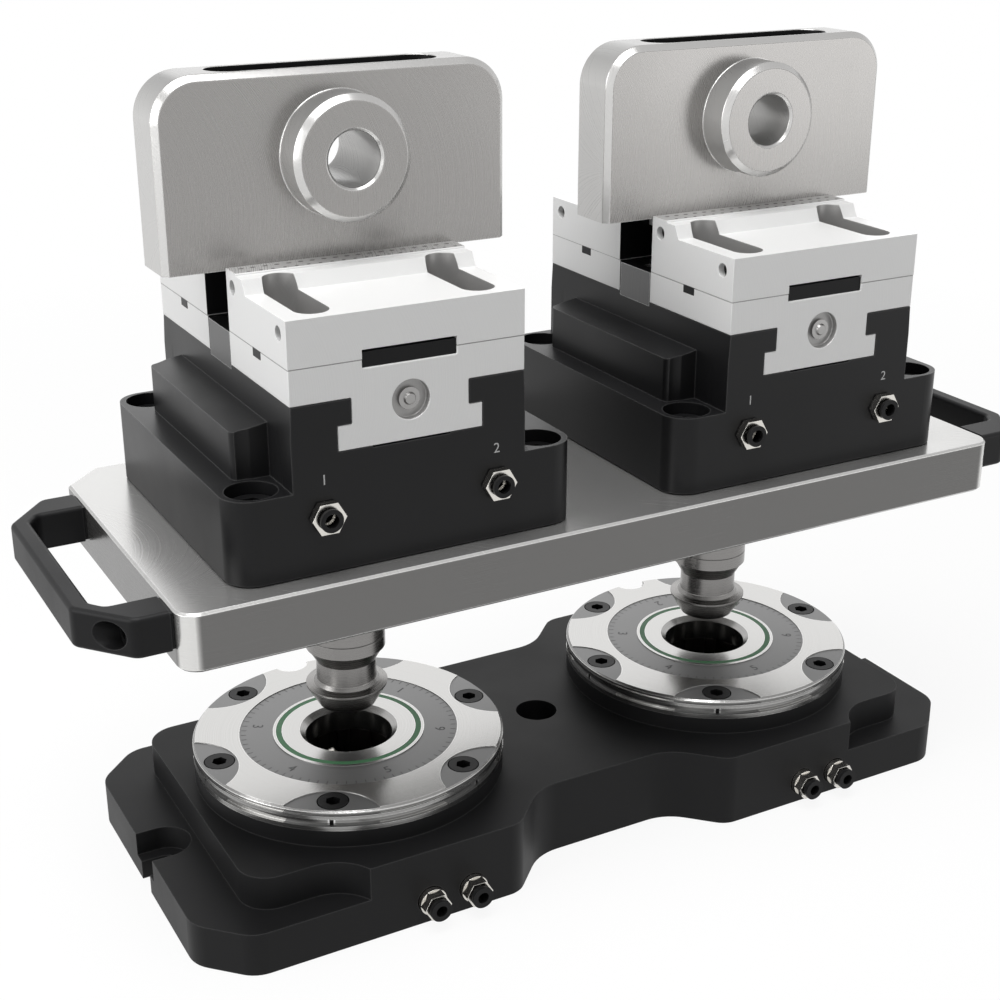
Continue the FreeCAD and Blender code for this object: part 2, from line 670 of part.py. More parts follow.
def vise_fittings():
    face = -VISE_WIDTH / 2
    return group([push_in_fitting(port, face, VISE_PORT_HEIGHT, VISE_FITTING)
                  for x in MODULE_X.values() for port in vise_ports(x)])


# Pull studs and pallet


def pull_stud(x):
    z = STUD_BOTTOM
    bore = M12["shank"] + STUD_BORE_CLEARANCE
    line = z + STUD_LINE_HEIGHT
    neck_fillet = STUD_NECK_FILLET
    return revolved([
        (bore, z), (STUD_TIP_RADIUS, z),
        (STUD_SHOULDER_RADIUS, z + STUD_SHOULDER_HEIGHT),
        (STUD_SHOULDER_RADIUS, z + STUD_SHOULDER_HEIGHT + STUD_SHOULDER_EDGE),
        (STUD_NECK_RADIUS + neck_fillet, z + STUD_NECK_START - neck_fillet / 2),
        (STUD_NECK_RADIUS, z + STUD_NECK_START + neck_fillet),
        (STUD_NECK_RADIUS, z + STUD_NECK_END),
        (STUD_COLLAR_RADIUS - neck_fillet, z + STUD_CONE_END - neck_fillet),
        (STUD_COLLAR_RADIUS, z + STUD_CONE_END),
        (STUD_COLLAR_RADIUS, line), (STUD_COLLAR_RADIUS - STUD_LINE_DEPTH, line),
        (STUD_COLLAR_RADIUS - STUD_LINE_DEPTH, line + STUD_LINE_DEPTH),
        (STUD_COLLAR_RADIUS, line + STUD_LINE_DEPTH),
        (STUD_COLLAR_RADIUS, z + STUD_HEIGHT), (bore, z + STUD_HEIGHT),
    ], x)


def stud_screws():
    seat = PALLET_TOP - M12["height"] - HEAD_CLEARANCE
    return group([socket_screw(Vector(x, 0, seat), (0, 0, -1), seat - STUD_SCREW_END, M12)
                  for x in MODULE_X.values()])


def handle_arm_places():
    offset = HANDLE_HALF_LENGTH - HANDLE_ARM_WIDTH / 2
    return [HANDLE_CENTRE_Y - offset, HANDLE_CENTRE_Y + offset]


def handle_screw_height():
    return (HANDLE_BOTTOM + HANDLE_TOP) / 2


def vise_screw_places(x):
    half = VISE_SCREW_SPACING / 2
    return [(x + step_x * half, step_y * half) for step_x in (-1, 1) for step_y in (-1, 1)]


def pallet_plate():
    half_x = PALLET_LENGTH / 2
    half_y = PALLET_WIDTH / 2
    corners = [
        (half_x, half_y, PALLET_CORNER_RADIUS),
        (-half_x + PALLET_BACK_CHAMFER, half_y, 0),
        (-half_x, half_y - PALLET_BACK_CHAMFER, 0),
        (-half_x, -half_y, PALLET_CORNER_RADIUS),
        (half_x, -half_y, PALLET_CORNER_RADIUS),
    ]
    body = slab(corners, PALLET_BOTTOM, PALLET_TOP)
    body = body.makeChamfer(PALLET_EDGE, edges_where(body, lambda edge: edge.BoundBox.ZLength < 0.01))
    cuts = []
    for x in MODULE_X.values():
        seat = PALLET_TOP - M12["height"] - HEAD_CLEARANCE
        cuts.append(cylinder(x, 0, PALLET_BOTTOM - 1, STUD_COLLAR_RADIUS + STUD_SEAT_CLEARANCE,
                             STUD_SEAT_DEPTH + 1))
        cuts.append(cylinder(x, 0, PALLET_BOTTOM, M12["shank"] + SHANK_CLEARANCE, PALLET_TOP))
        cuts.append(cylinder(x, 0, seat, M12["head"] + HEAD_CLEARANCE, PALLET_TOP))
        for hole_x, hole_y in vise_screw_places(x):
            cuts.append(cylinder(hole_x, hole_y, PALLET_TOP - VISE_SCREW_GRIP - 1, M12["shank"], PALLET_TOP))
    for sign in (-1, 1):
        for y in handle_arm_places():
            depth = HANDLE_SCREW_LENGTH - HANDLE_SCREW_SEAT + 1
            cuts.append(cylinder(sign * (half_x + 1), y, handle_screw_height(), M6["shank"], depth + 1,
                                 Vector(-sign, 0, 0)))
    return body.cut(cuts)


def handle(sign):
    root = PALLET_LENGTH / 2
    tip = root + HANDLE_REACH
    half = HANDLE_HALF_LENGTH
    outer = [(root, half), (tip - HANDLE_CHAMFER_X, half), (tip, half - HANDLE_CHAMFER_Y)]
    inner_half = half - HANDLE_ARM_WIDTH
    bar = tip - HANDLE_BAR_WIDTH
    inner = [(bar, inner_half - HANDLE_INNER_CHAMFER_Y), (bar - HANDLE_INNER_CHAMFER_X, inner_half),
             (root, inner_half)]
    outline = outer + [(x, -y) for x, y in reversed(outer)]
    hollow = inner + [(x, -y) for x, y in reversed(inner)]
    outer_round = HANDLE_OUTER_CORNER_RADIUS
    inner_round = HANDLE_INNER_CORNER_RADIUS
    outer_radii = [0, outer_round, outer_round, outer_round, outer_round, 0]
    inner_radii = [inner_round, inner_round, 0, 0, inner_round, inner_round]
    corners = [(x, y + HANDLE_CENTRE_Y, radius) for (x, y), radius in zip(outline, outer_radii)]
    window = [(x, y + HANDLE_CENTRE_Y, radius) for (x, y), radius in zip(hollow, inner_radii)]
    body = slab(corners, HANDLE_BOTTOM, HANDLE_TOP).cut(slab(window, HANDLE_BOTTOM, HANDLE_TOP))
    rim = edges_where(body, lambda edge: edge.BoundBox.ZLength < 0.01 and edge.BoundBox.XMin > root + 0.01)
    cuts = []
    foot = root + HANDLE_FOOT_LENGTH
    for y in handle_arm_places():
        half_arm = HANDLE_ARM_WIDTH / 2 - HANDLE_FOOT_SET_BACK
        arm = box(root - 1, foot, y - HANDLE_ARM_WIDTH, y + HANDLE_ARM_WIDTH,
                  HANDLE_BOTTOM - 1, HANDLE_TOP + 1)
        core = box(root - 1, foot, y - half_arm, y + half_arm,
                   HANDLE_BOTTOM + HANDLE_FOOT_SET_BACK, HANDLE_TOP - HANDLE_FOOT_SET_BACK)
        cuts.append(arm.cut(core))
        height = handle_screw_height()
        outward = Vector(1, 0, 0)
        cuts.append(cylinder(root - 1, y, height, M6["shank"] + SHANK_CLEARANCE, HANDLE_REACH, outward))
        cuts.append(cylinder(root + HANDLE_SCREW_SEAT, y, height, HANDLE_SEAT_RADIUS, HANDLE_REACH, outward))
    body = body.makeFillet(HANDLE_EDGE_RADIUS, rim) if rim else body
    body = body.cut(cuts)
    if sign < 0:
        body = body.mirror(Vector(0, 0, 0), Vector(1, 0, 0))
    return body


def handle_screws():
    screws = []
    for sign in (-1, 1):
        for y in handle_arm_places():
            seat = Vector(sign * (PALLET_LENGTH / 2 + HANDLE_SCREW_SEAT), y, handle_screw_height())
            screws.append(socket_screw(seat, (-sign, 0, 0), HANDLE_SCREW_LENGTH, M6))
    return group(screws)


# Vise


def jaw_guide(x):
    """Inverted T channel along Y that guides both base jaws."""
    half = VISE_WIDTH / 2 + 1
    return fused([
        box(x - SLOT_HEAD_HALF, x + SLOT_HEAD_HALF, -half, half, SLOT_FLOOR - SLOT_CLEARANCE, SLOT_HEAD_TOP),
        box(x - SLOT_NECK_HALF, x + SLOT_NECK_HALF, -half, half, SLOT_HEAD_TOP, TOWER_TOP + 1),
        box(x - SLOT_RELIEF_HALF, x + SLOT_RELIEF_HALF, -half, half,
            SLOT_FLOOR - SLOT_CLEARANCE - SLOT_RELIEF_DEPTH, SLOT_HEAD_TOP),
    ])


def vise_air_ways(x):
    front = -VISE_WIDTH / 2
    inward = Vector(0, 1, 0)
    ways = []
    for port in vise_ports(x):
        ways.append(cylinder(port, front - 1, VISE_PORT_HEIGHT, VISE_FITTING["thread"] + THREAD_CLEARANCE,
                             VISE_FITTING["grip"] + 2, inward))
    open_port, clamp_port = vise_ports(x)
    turn = -VISE_PORT_TURN
    ways.append(cylinder(clamp_port, front, VISE_PORT_HEIGHT, AIR_WAY_RADIUS,
                         VISE_WIDTH / 2 - VISE_PORT_OVERRUN, inward))
    ways.append(cylinder(open_port, front, VISE_PORT_HEIGHT, AIR_WAY_RADIUS, turn - front, inward))
    plenum = VISE_PORT_HEIGHT - VISE_PORT_DROP
    ways.append(cylinder(open_port, turn, plenum, AIR_WAY_RADIUS, VISE_PORT_DROP))
    ways.append(cylinder(open_port, turn, plenum, AIR_WAY_RADIUS,
                         VISE_PORT_TURN - VISE_PORT_OVERRUN, inward))
    return ways


def vise_body(x):
    half_x = VISE_LENGTH / 2
    half_y = VISE_WIDTH / 2
    flange = slab([(x + half_x, half_y, FLANGE_CORNER_RADIUS), (x - half_x, half_y, FLANGE_CORNER_RADIUS),
                   (x - half_x, -half_y, FLANGE_CORNER_RADIUS), (x + half_x, -half_y, FLANGE_CORNER_RADIUS)],
                  PALLET_TOP, FLANGE_TOP)
    foot = edges_where(flange, lambda edge: edge.BoundBox.ZMax < PALLET_TOP + 0.01)
    flange = flange.makeChamfer(FLANGE_FOOT_CHAMFER, foot)
    half_tower = TOWER_WIDTH / 2
    crease = RIB_TOP_INNER
    tower = prism([(x - half_tower, -half_y, FLANGE_TOP), (x + half_tower, -half_y, FLANGE_TOP),
                   (x + half_tower, -half_y, crease), (x + half_tower - TOWER_CREASE, -half_y, TOWER_TOP),
                   (x - half_tower + TOWER_CREASE, -half_y, TOWER_TOP), (x - half_tower, -half_y, crease)],
                  (0, VISE_WIDTH, 0))
    pieces = [flange, tower]
    for sign in (-1, 1):
        rib = prism([(x + sign * (half_tower - 1), -RIB_HALF_LENGTH, FLANGE_TOP),
                     (x + sign * RIB_REACH, -RIB_HALF_LENGTH, FLANGE_TOP),
                     (x + sign * RIB_REACH, -RIB_HALF_LENGTH, RIB_TOP_OUTER),
                     (x + sign * half_tower, -RIB_HALF_LENGTH, RIB_TOP_INNER),
                     (x + sign * (half_tower - 1), -RIB_HALF_LENGTH, RIB_TOP_INNER)],
                    (0, 2 * RIB_HALF_LENGTH, 0))
        corners = edges_where(rib, lambda edge: edge.BoundBox.ZLength > 10
                              and abs(edge.BoundBox.Center.x - x) > RIB_REACH - 0.1)
        pieces.append(rib.makeFillet(RIB_CORNER_RADIUS, corners))
    body = fused(pieces)
    cuts = [jaw_guide(x)]
    for hole_x, hole_y in vise_screw_places(x):
        cuts.append(cylinder(hole_x, hole_y, FLANGE_TOP, VISE_SCREW_POCKET_RADIUS, TOWER_TOP))
        cuts.append(cylinder(hole_x, hole_y, VISE_SCREW_SEAT,
                             M12["head"] + VISE_SCREW_SEAT_CLEARANCE, TOWER_TOP))
        cuts.append(cylinder(hole_x, hole_y, PALLET_TOP - 1, M12["shank"] + SHANK_CLEARANCE, TOWER_TOP))
    cuts.append(cylinder(x, 0, PALLET_TOP - 1, CYLINDER_COVER_RADIUS, CYLINDER_COVER_THICKNESS + 1))
    cuts.append(cylinder(x, 0, PALLET_TOP - 1, CYLINDER_RADIUS, CYLINDER_TOP - PALLET_TOP + 1))
    opening_x = WEDGE_HALF_WIDTH + WEDGE_CLEARANCE
    cuts.append(box(x - opening_x, x + opening_x, -WEDGE_OPENING_HALF, WEDGE_OPENING_HALF,
                    CYLINDER_TOP - 1, SLOT_FLOOR + 1))
    cover = CENTRE_COVER_HALF_LENGTH
    cuts.append(box(x - half_x, x + half_x, -cover, cover, CENTRE_COVER_BOTTOM, TOWER_TOP + 1))
    cuts += vise_air_ways(x)
    return body.cut(cuts)


def vise_mount_screws():
    screws = []
    for x in MODULE_X.values():
        for hole_x, hole_y in vise_screw_places(x):
            length = VISE_SCREW_SEAT - PALLET_TOP + VISE_SCREW_GRIP
            screws.append(socket_screw(Vector(hole_x, hole_y, VISE_SCREW_SEAT), (0, 0, -1), length, M12))
    return group(screws)


def vise_cylinder_covers():
    return group([cylinder(x, 0, PALLET_TOP, CYLINDER_COVER_RADIUS, CYLINDER_COVER_THICKNESS)
                  for x in MODULE_X.values()])


def vise_centre_covers():
    covers = []
    for x in MODULE_X.values():
        block = box(x - CENTRE_COVER_HALF_WIDTH, x + CENTRE_COVER_HALF_WIDTH,
                    -CENTRE_COVER_HALF_LENGTH, CENTRE_COVER_HALF_LENGTH,
                    CENTRE_COVER_BOTTOM, CENTRE_COVER_TOP)
        for sign in (-1, 1):
            screw_x = x + sign * (CENTRE_COVER_HALF_WIDTH - CENTRE_COVER_SCREW_INSET)
            depth = CENTRE_COVER_SCREW_DEPTH
            block = block.cut(cylinder(screw_x, 0, CENTRE_COVER_TOP - depth,
                                       CENTRE_COVER_SCREW_RADIUS, 2 * depth))
        covers.append(block)
    return group(covers)


def wedge_face(z):
    """Half thickness of the wedge head at height z, in the clamped position."""
    return WEDGE_TOP_HALF + (WEDGE_TOP - z) * WEDGE_SLOPE


def inclined_bar(x, side, half_width, inner, outer, z0, z1):
    """Bar along the wedge face, between two offsets from it."""
    return prism([(x - half_width, side * (wedge_face(z0) + inner), z0),
                  (x - half_width, side * (wedge_face(z0) + outer), z0),
                  (x - half_width, side * (wedge_face(z1) + outer), z1),
                  (x - half_width, side * (wedge_face(z1) + inner), z1)],
                 (2 * half_width, 0, 0))


def vise_piston(x):
    """Piston with a central wedge head; hooked ribs on both faces drive the jaws out and in."""
    disc = cylinder(x, 0, PISTON_BOTTOM, CYLINDER_RADIUS - PISTON_CLEARANCE, PISTON_THICKNESS)
    neck_top = WEDGE_TOP - (WEDGE_FOOT_HALF - WEDGE_TOP_HALF) / WEDGE_SLOPE
    disc_top = PISTON_BOTTOM + PISTON_THICKNESS
    left = x - WEDGE_HALF_WIDTH
    head = prism([(left, -WEDGE_FOOT_HALF, disc_top), (left, WEDGE_FOOT_HALF, disc_top),
                  (left, WEDGE_FOOT_HALF, neck_top), (left, WEDGE_TOP_HALF, WEDGE_TOP),
                  (left, -WEDGE_TOP_HALF, WEDGE_TOP), (left, -WEDGE_FOOT_HALF, neck_top)],
                 (2 * WEDGE_HALF_WIDTH, 0, 0))
    ribs = []
    for side in SIDES.values():
        ribs.append(inclined_bar(x, side, WEDGE_RIB_NECK_HALF, -1, WEDGE_RIB_HEAD,
                                 WEDGE_RIB_START, WEDGE_TOP))
        ribs.append(inclined_bar(x, side, WEDGE_RIB_HEAD_HALF, WEDGE_RIB_NECK, WEDGE_RIB_HEAD,
                                 WEDGE_RIB_START, WEDGE_TOP))
    return fused([disc, head] + ribs)


def jaw_span(side, inner, outer):
    return (inner, outer) if side > 0 else (-outer, -inner)


def base_jaw(x, side):
    """Base jaw: T foot in the guide, slanted nose and hooked slot for the wedge head."""
    clear = SLOT_CLEARANCE
    y0, y1 = jaw_span(side, JAW_INNER, JAW_OUTER)
    upper = box(x - JAW_HALF_WIDTH, x + JAW_HALF_WIDTH, y0, y1, TOWER_TOP + clear, BASE_JAW_TOP)
    foot_top = SLOT_HEAD_TOP - clear
    offset = WEDGE_CLEARANCE
    head = box(x - SLOT_HEAD_HALF + clear, x + SLOT_HEAD_HALF - clear, y0, y1, SLOT_FLOOR, foot_top)
    neck = box(x - SLOT_NECK_HALF + clear, x + SLOT_NECK_HALF - clear, y0, y1, SLOT_FLOOR, TOWER_TOP + clear)
    nose = prism([(x - SLOT_NECK_HALF + clear, side * (wedge_face(SLOT_FLOOR) + offset), SLOT_FLOOR),
                  (x - SLOT_NECK_HALF + clear, side * (JAW_INNER + 1), SLOT_FLOOR),
                  (x - SLOT_NECK_HALF + clear, side * (JAW_INNER + 1), foot_top),
                  (x - SLOT_NECK_HALF + clear, side * (wedge_face(foot_top) + offset), foot_top)],
                 (2 * (SLOT_NECK_HALF - clear), 0, 0))
    body = fused([upper, head, neck, nose])
    low = SLOT_FLOOR - 1
    high = foot_top + 1
    cuts = [
        inclined_bar(x, side, WEDGE_RIB_NECK_HALF + offset, -1, WEDGE_RIB_NECK + offset, low, high),
        inclined_bar(x, side, WEDGE_RIB_HEAD_HALF + offset, WEDGE_RIB_NECK - offset,
                     WEDGE_RIB_HEAD + offset, low, high),
    ]
    inward = Vector(0, -side, 0)
    outer = side * JAW_OUTER
    cuts.append(cylinder(x, outer + side, NIPPLE_HEIGHT, NIPPLE_POCKET_RADIUS,
                         NIPPLE_POCKET_DEPTH + 1, inward))
    y6, y7 = jaw_span(side, JAW_OUTER - FACE_KEY_DEPTH, JAW_OUTER + 1)
    cuts.append(box(x - FACE_KEY_HALF, x + FACE_KEY_HALF, y6, y7, FACE_KEY_BOTTOM, BASE_JAW_TOP + 1))
    key_y = side * CROSS_KEY_Y
    cuts.append(box(x - JAW_HALF_WIDTH - 1, x + JAW_HALF_WIDTH + 1, key_y - CROSS_KEY_WIDTH / 2,
                    key_y + CROSS_KEY_WIDTH / 2, BASE_JAW_TOP - CROSS_KEY_DEPTH, BASE_JAW_TOP + 1))
    for offset_x in (-SCOOP_OFFSET, SCOOP_OFFSET):
        cuts.append(cylinder(x + offset_x, side * SCOOP_OUTER_CENTRE, BASE_JAW_TOP - JAW_SCREW_GRIP,
                             M8["shank"], JAW_SCREW_GRIP + 1))
    return body.cut(cuts)


def scoop(x, side):
    """Round-ended pocket for a jaw screw, open upwards through the slant."""
    height = TOP_JAW_GRIP_TOP - SCOOP_FLOOR + 1
    inner = side * SCOOP_INNER_CENTRE
    outer = side * SCOOP_OUTER_CENTRE
    y0, y1 = jaw_span(side, SCOOP_INNER_CENTRE, SCOOP_OUTER_CENTRE)
    return fused([cylinder(x, inner, SCOOP_FLOOR, SCOOP_RADIUS, height),
                  cylinder(x, outer, SCOOP_FLOOR, SCOOP_RADIUS, height),
                  box(x - SCOOP_RADIUS, x + SCOOP_RADIUS, y0, y1, SCOOP_FLOOR, SCOOP_FLOOR + height)])


def set_screw_places(x, side):
    for end in (-1, 1):
        yield end, x + end * JAW_HALF_WIDTH, side * SET_SCREW_INNER_Y, SET_SCREW_INNER_Z
        yield end, x + end * JAW_HALF_WIDTH, side * SET_SCREW_OUTER_Y, SET_SCREW_OUTER_Z


def top_jaw(x, side):
    left = x - JAW_HALF_WIDTH
    profile = [(JAW_OUTER, BASE_JAW_TOP), (JAW_OUTER, TOP_JAW_FLAT), (SLANT_OUTER, TOP_JAW_FLAT),
               (SLANT_INNER, TOP_JAW_PLATEAU), (GRIP_STRIP_OUTER, TOP_JAW_PLATEAU),
               (GRIP_STRIP_OUTER, TOP_JAW_GRIP_TOP), (GRIP_FACE, TOP_JAW_GRIP_TOP),
               (GRIP_FACE, BASE_JAW_TOP)]
    body = prism([(left, side * y, z) for y, z in profile], (2 * JAW_HALF_WIDTH, 0, 0))
    edge = edges_where(body, lambda item: item.BoundBox.XLength > JAW_HALF_WIDTH
                       and abs(abs(item.BoundBox.Center.y) - GRIP_STRIP_OUTER) < 0.01
                       and item.BoundBox.ZMin > TOP_JAW_GRIP_TOP - 0.01)
    body = body.makeFillet(GRIP_EDGE_RADIUS, edge)
    cuts = []
    for offset in (-SCOOP_OFFSET, SCOOP_OFFSET):
        cuts.append(scoop(x + offset, side))
        cuts.append(cylinder(x + offset, side * SCOOP_OUTER_CENTRE, BASE_JAW_TOP - 1,
                             M8["shank"] + SHANK_CLEARANCE, SCOOP_FLOOR))
    y0, y1 = jaw_span(side, JAW_OUTER - FACE_KEY_DEPTH, JAW_OUTER + 1)
    cuts.append(box(x - FACE_KEY_HALF, x + FACE_KEY_HALF, y0, y1, BASE_JAW_TOP - 1, FACE_KEY_POCKET_TOP))
    for end, hole_x, hole_y, hole_z in set_screw_places(x, side):
        cuts.append(cylinder(hole_x + end, hole_y, hole_z, SET_SCREW_RADIUS, SET_SCREW_HOLE_DEPTH + 1,
                             Vector(-end, 0, 0)))
    return body.cut(cuts)


def jaw_fixings(x, side):
    """Cross key, face key, workpiece support strip, screws and a grease nipple of one jaw."""
    pieces = []
    s0, s1 = jaw_span(side, GRIP_FACE - SUPPORT_STRIP_THICKNESS, GRIP_FACE)
    pieces.append(box(x - SUPPORT_STRIP_HALF_LENGTH, x + SUPPORT_STRIP_HALF_LENGTH, s0, s1,
                      SUPPORT_STRIP_TOP - SUPPORT_STRIP_HEIGHT, SUPPORT_STRIP_TOP))
    key_y = side * CROSS_KEY_Y
    pieces.append(box(x - JAW_HALF_WIDTH, x + JAW_HALF_WIDTH, key_y - CROSS_KEY_WIDTH / 2,
                      key_y + CROSS_KEY_WIDTH / 2, BASE_JAW_TOP - CROSS_KEY_DEPTH, BASE_JAW_TOP))
    y0, y1 = jaw_span(side, JAW_OUTER - FACE_KEY_DEPTH, JAW_OUTER - FACE_KEY_SET_BACK)
    pieces.append(box(x - FACE_KEY_HALF, x + FACE_KEY_HALF, y0, y1, FACE_KEY_BOTTOM, FACE_KEY_TOP))
    for offset in (-SCOOP_OFFSET, SCOOP_OFFSET):
        seat = Vector(x + offset, side * SCOOP_OUTER_CENTRE, SCOOP_FLOOR)
        length = SCOOP_FLOOR - BASE_JAW_TOP + JAW_SCREW_GRIP
        pieces.append(socket_screw(seat, (0, 0, -1), length, M8_LOW))
    for end, hole_x, hole_y, hole_z in set_screw_places(x, side):
        inner = hole_x - end * SET_SCREW_HOLE_DEPTH
        pieces.append(cylinder(inner, hole_y, hole_z, SET_SCREW_RADIUS, SET_SCREW_LENGTH, Vector(end, 0, 0)))
    floor = side * (JAW_OUTER - NIPPLE_POCKET_DEPTH)
    outward = Vector(0, side, 0)
    nipple = cylinder(x, floor, NIPPLE_HEIGHT, NIPPLE_RADIUS, NIPPLE_POCKET_DEPTH / 2, outward)
    tip = Part.makeCone(NIPPLE_CONE_FOOT_RADIUS, NIPPLE_CONE_TIP_RADIUS,
                        NIPPLE_POCKET_DEPTH - NIPPLE_CONE_SET_BACK, Vector(x, floor, NIPPLE_HEIGHT), outward)
    pieces.append(fused([nipple, tip]))
    return group(pieces)


# Workpieces


def workpiece(x):
    half_x = WORK_LENGTH / 2
    half_y = WORK_THICKNESS / 2
    blank = prism([(x - half_x, -half_y, WORK_BOTTOM), (x + half_x, -half_y, WORK_BOTTOM),
                   (x + half_x, -half_y, WORK_TOP), (x - half_x, -half_y, WORK_TOP)], (0, WORK_THICKNESS, 0))
    upper = edges_where(blank, lambda edge: edge.BoundBox.YLength > 1
                        and edge.BoundBox.ZMin > WORK_TOP - 0.01)
    blank = blank.makeFillet(WORK_CORNER_RADIUS, upper)
    rim = edges_where(blank, lambda edge: edge.BoundBox.YLength < 0.01
                      and edge.BoundBox.ZMax > WORK_BOTTOM + 0.01)
    blank = blank.makeChamfer(WORK_EDGE, rim)
    boss = cylinder(x, -half_y, BOSS_HEIGHT, BOSS_RADIUS, BOSS_REACH, Vector(0, -1, 0))
    front = edges_where(boss, lambda edge: edge.BoundBox.YMax < -half_y - BOSS_REACH + 0.01)
    boss = boss.makeChamfer(BOSS_EDGE, front)
    body = fused([blank, boss])
    face = -half_y - BOSS_REACH
    depth = WORK_THICKNESS + BOSS_REACH
    inward = Vector(0, 1, 0)
    bore = cylinder(x, face - 1, BOSS_HEIGHT, BORE_RADIUS, depth + 2, inward)
    lead = Part.makeCone(BORE_RADIUS + BORE_EDGE, BORE_RADIUS, BORE_EDGE,
                         Vector(x, face, BOSS_HEIGHT), inward)
    slot_half = WORK_SLOT_WIDTH / 2
    run = WORK_SLOT_LENGTH / 2 - slot_half
    floor = WORK_TOP - WORK_SLOT_DEPTH
    slot = fused([cylinder(x - run, 0, floor, slot_half, WORK_SLOT_DEPTH + 1),
                  cylinder(x + run, 0, floor, slot_half, WORK_SLOT_DEPTH + 1),
                  box(x - run, x + run, -slot_half, slot_half, floor, WORK_TOP + 1)])
    return body.cut([bore, lead, slot])


def named_parts():
    parts = {
        "base_plate": base_plate(),
        "ball_cages": group([ball_cage(x) for x in MODULE_X.values()]),
        "module_screws": module_screws(),
        "module_seals": module_seals(),
        "base_fittings": base_fittings(),
        "pallet_plate": pallet_plate(),
        "stud_screws": stud_screws(),
        "handle_left": handle(-1),
        "handle_right": handle(1),
        "handle_screws": handle_screws(),
        "vise_mount_screws": vise_mount_screws(),
        "vise_fittings": vise_fittings(),
        "vise_centre_covers": vise_centre_covers(),
        "vise_cylinder_covers": vise_cylinder_covers(),
    }
    for name, x in MODULE_X.items():
        parts["module_housing_" + name] = module_housing(x)
        parts["clamping_piston_" + name] = clamping_piston(x)
        parts["spring_pack_" + name] = spring_pack(x)
        parts["pull_stud_" + name] = pull_stud(x)
        parts["vise_body_" + name] = vise_body(x)
        parts["vise_piston_" + name] = vise_piston(x)
        parts["workpiece_" + name] = workpiece(x)
        for number, angle in enumerate(ball_angles(), 1):
            parts[f"locking_ball_{name}_{number}"] = locking_ball(x, angle)
        for number, port in enumerate(vise_ports(x), 1):
            parts[f"vise_release_ring_{name}_{number}"] = release_ring(
                port, -VISE_WIDTH / 2, VISE_PORT_HEIGHT, VISE_FITTING)
        for end, side in SIDES.items():
            parts[f"base_jaw_{name}_{end}"] = base_jaw(x, side)
            parts[f"top_jaw_{name}_{end}"] = top_jaw(x, side)
            parts[f"jaw_fixings_{name}_{end}"] = jaw_fixings(x, side)
    for number, port in enumerate(base_ports(), 1):
        parts[f"base_release_ring_{number}"] = release_ring(
            port, -PLATE_WIDTH / 2, BASE_PORT_HEIGHT, BASE_FITTING)
    return parts


def main():
    os.makedirs("parts", exist_ok=True)
    for name, shape in named_parts().items():
        shape.exportStep(f"parts/{name}.step")
        box_size = shape.BoundBox
        print(f"{name}: {len(shape.Solids)} solids, {box_size.XLength:.1f} x {box_size.YLength:.1f} x "
              f"{box_size.ZLength:.1f} mm, valid {shape.isValid()}")


main()
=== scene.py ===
import bpy
import json
import math
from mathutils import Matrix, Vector


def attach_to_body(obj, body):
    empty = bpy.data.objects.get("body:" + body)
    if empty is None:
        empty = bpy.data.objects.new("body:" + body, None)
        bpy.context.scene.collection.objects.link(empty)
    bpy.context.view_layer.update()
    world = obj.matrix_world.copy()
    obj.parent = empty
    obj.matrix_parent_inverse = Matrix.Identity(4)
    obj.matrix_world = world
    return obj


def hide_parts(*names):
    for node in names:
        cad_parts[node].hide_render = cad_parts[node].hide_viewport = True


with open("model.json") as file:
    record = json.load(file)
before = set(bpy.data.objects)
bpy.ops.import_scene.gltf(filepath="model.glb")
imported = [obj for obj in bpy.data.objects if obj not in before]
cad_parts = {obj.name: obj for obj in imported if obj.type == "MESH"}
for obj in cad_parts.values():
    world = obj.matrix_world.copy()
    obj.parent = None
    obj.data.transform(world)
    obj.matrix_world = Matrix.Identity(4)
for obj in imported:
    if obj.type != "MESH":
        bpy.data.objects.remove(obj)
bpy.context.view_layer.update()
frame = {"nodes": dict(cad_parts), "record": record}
nodes = frame["nodes"]
bodies = frame["record"]["behaviour"]["bodies"]
nodeBody = {node: body for body, members in bodies.items() for node in members}
mm = 0.001
sides = {"left": -0.1, "right": 0.1}
ends = {"front": -1, "rear": 1}
print("frame loaded:", len(nodes), "nodes")


# small helpers for shader trees

def newGroup(name, inputs, outputs):
    group = bpy.data.node_groups.new(name, "ShaderNodeTree")
    for label, kind, value in inputs:
        socket = group.interface.new_socket(label, in_out="INPUT", socket_type=kind)
        if value is not None:
            socket.default_value = value
    for label, kind in outputs:
        group.interface.new_socket(label, in_out="OUTPUT", socket_type=kind)
    return group, group.nodes.new("NodeGroupInput"), group.nodes.new("NodeGroupOutput")


def setInput(tree, socket, value):
    if isinstance(value, bpy.types.NodeSocket):
        tree.links.new(value, socket)
    else:
        socket.default_value = value


def addMath(tree, operation, *values):
    node = tree.nodes.new("ShaderNodeMath")
    node.operation = operation
    for socket, value in zip(node.inputs, values):
        setInput(tree, socket, value)
    return node.outputs[0]


def addNoise(tree, vector, scale, detail=3.0, roughness=0.5):
    node = tree.nodes.new("ShaderNodeTexNoise")
    setInput(tree, node.inputs["Vector"], vector)
    setInput(tree, node.inputs["Scale"], scale)
    node.inputs["Detail"].default_value = detail
    node.inputs["Roughness"].default_value = roughness
    return node.outputs["Fac"]


def addLineNoise(tree, value, scale, detail=4.0):
    node = tree.nodes.new("ShaderNodeTexNoise")
    node.noise_dimensions = "1D"
    setInput(tree, node.inputs["W"], value)
    setInput(tree, node.inputs["Scale"], scale)
    node.inputs["Detail"].default_value = detail
    node.inputs["Roughness"].default_value = 0.6
    return node.outputs["Fac"]


def addRange(tree, value, low, high, newLow=0.0, newHigh=1.0):
    node = tree.nodes.new("ShaderNodeMapRange")
    for socket, item in zip(node.inputs, (value, low, high, newLow, newHigh)):
        setInput(tree, socket, item)
    return node.outputs[0]


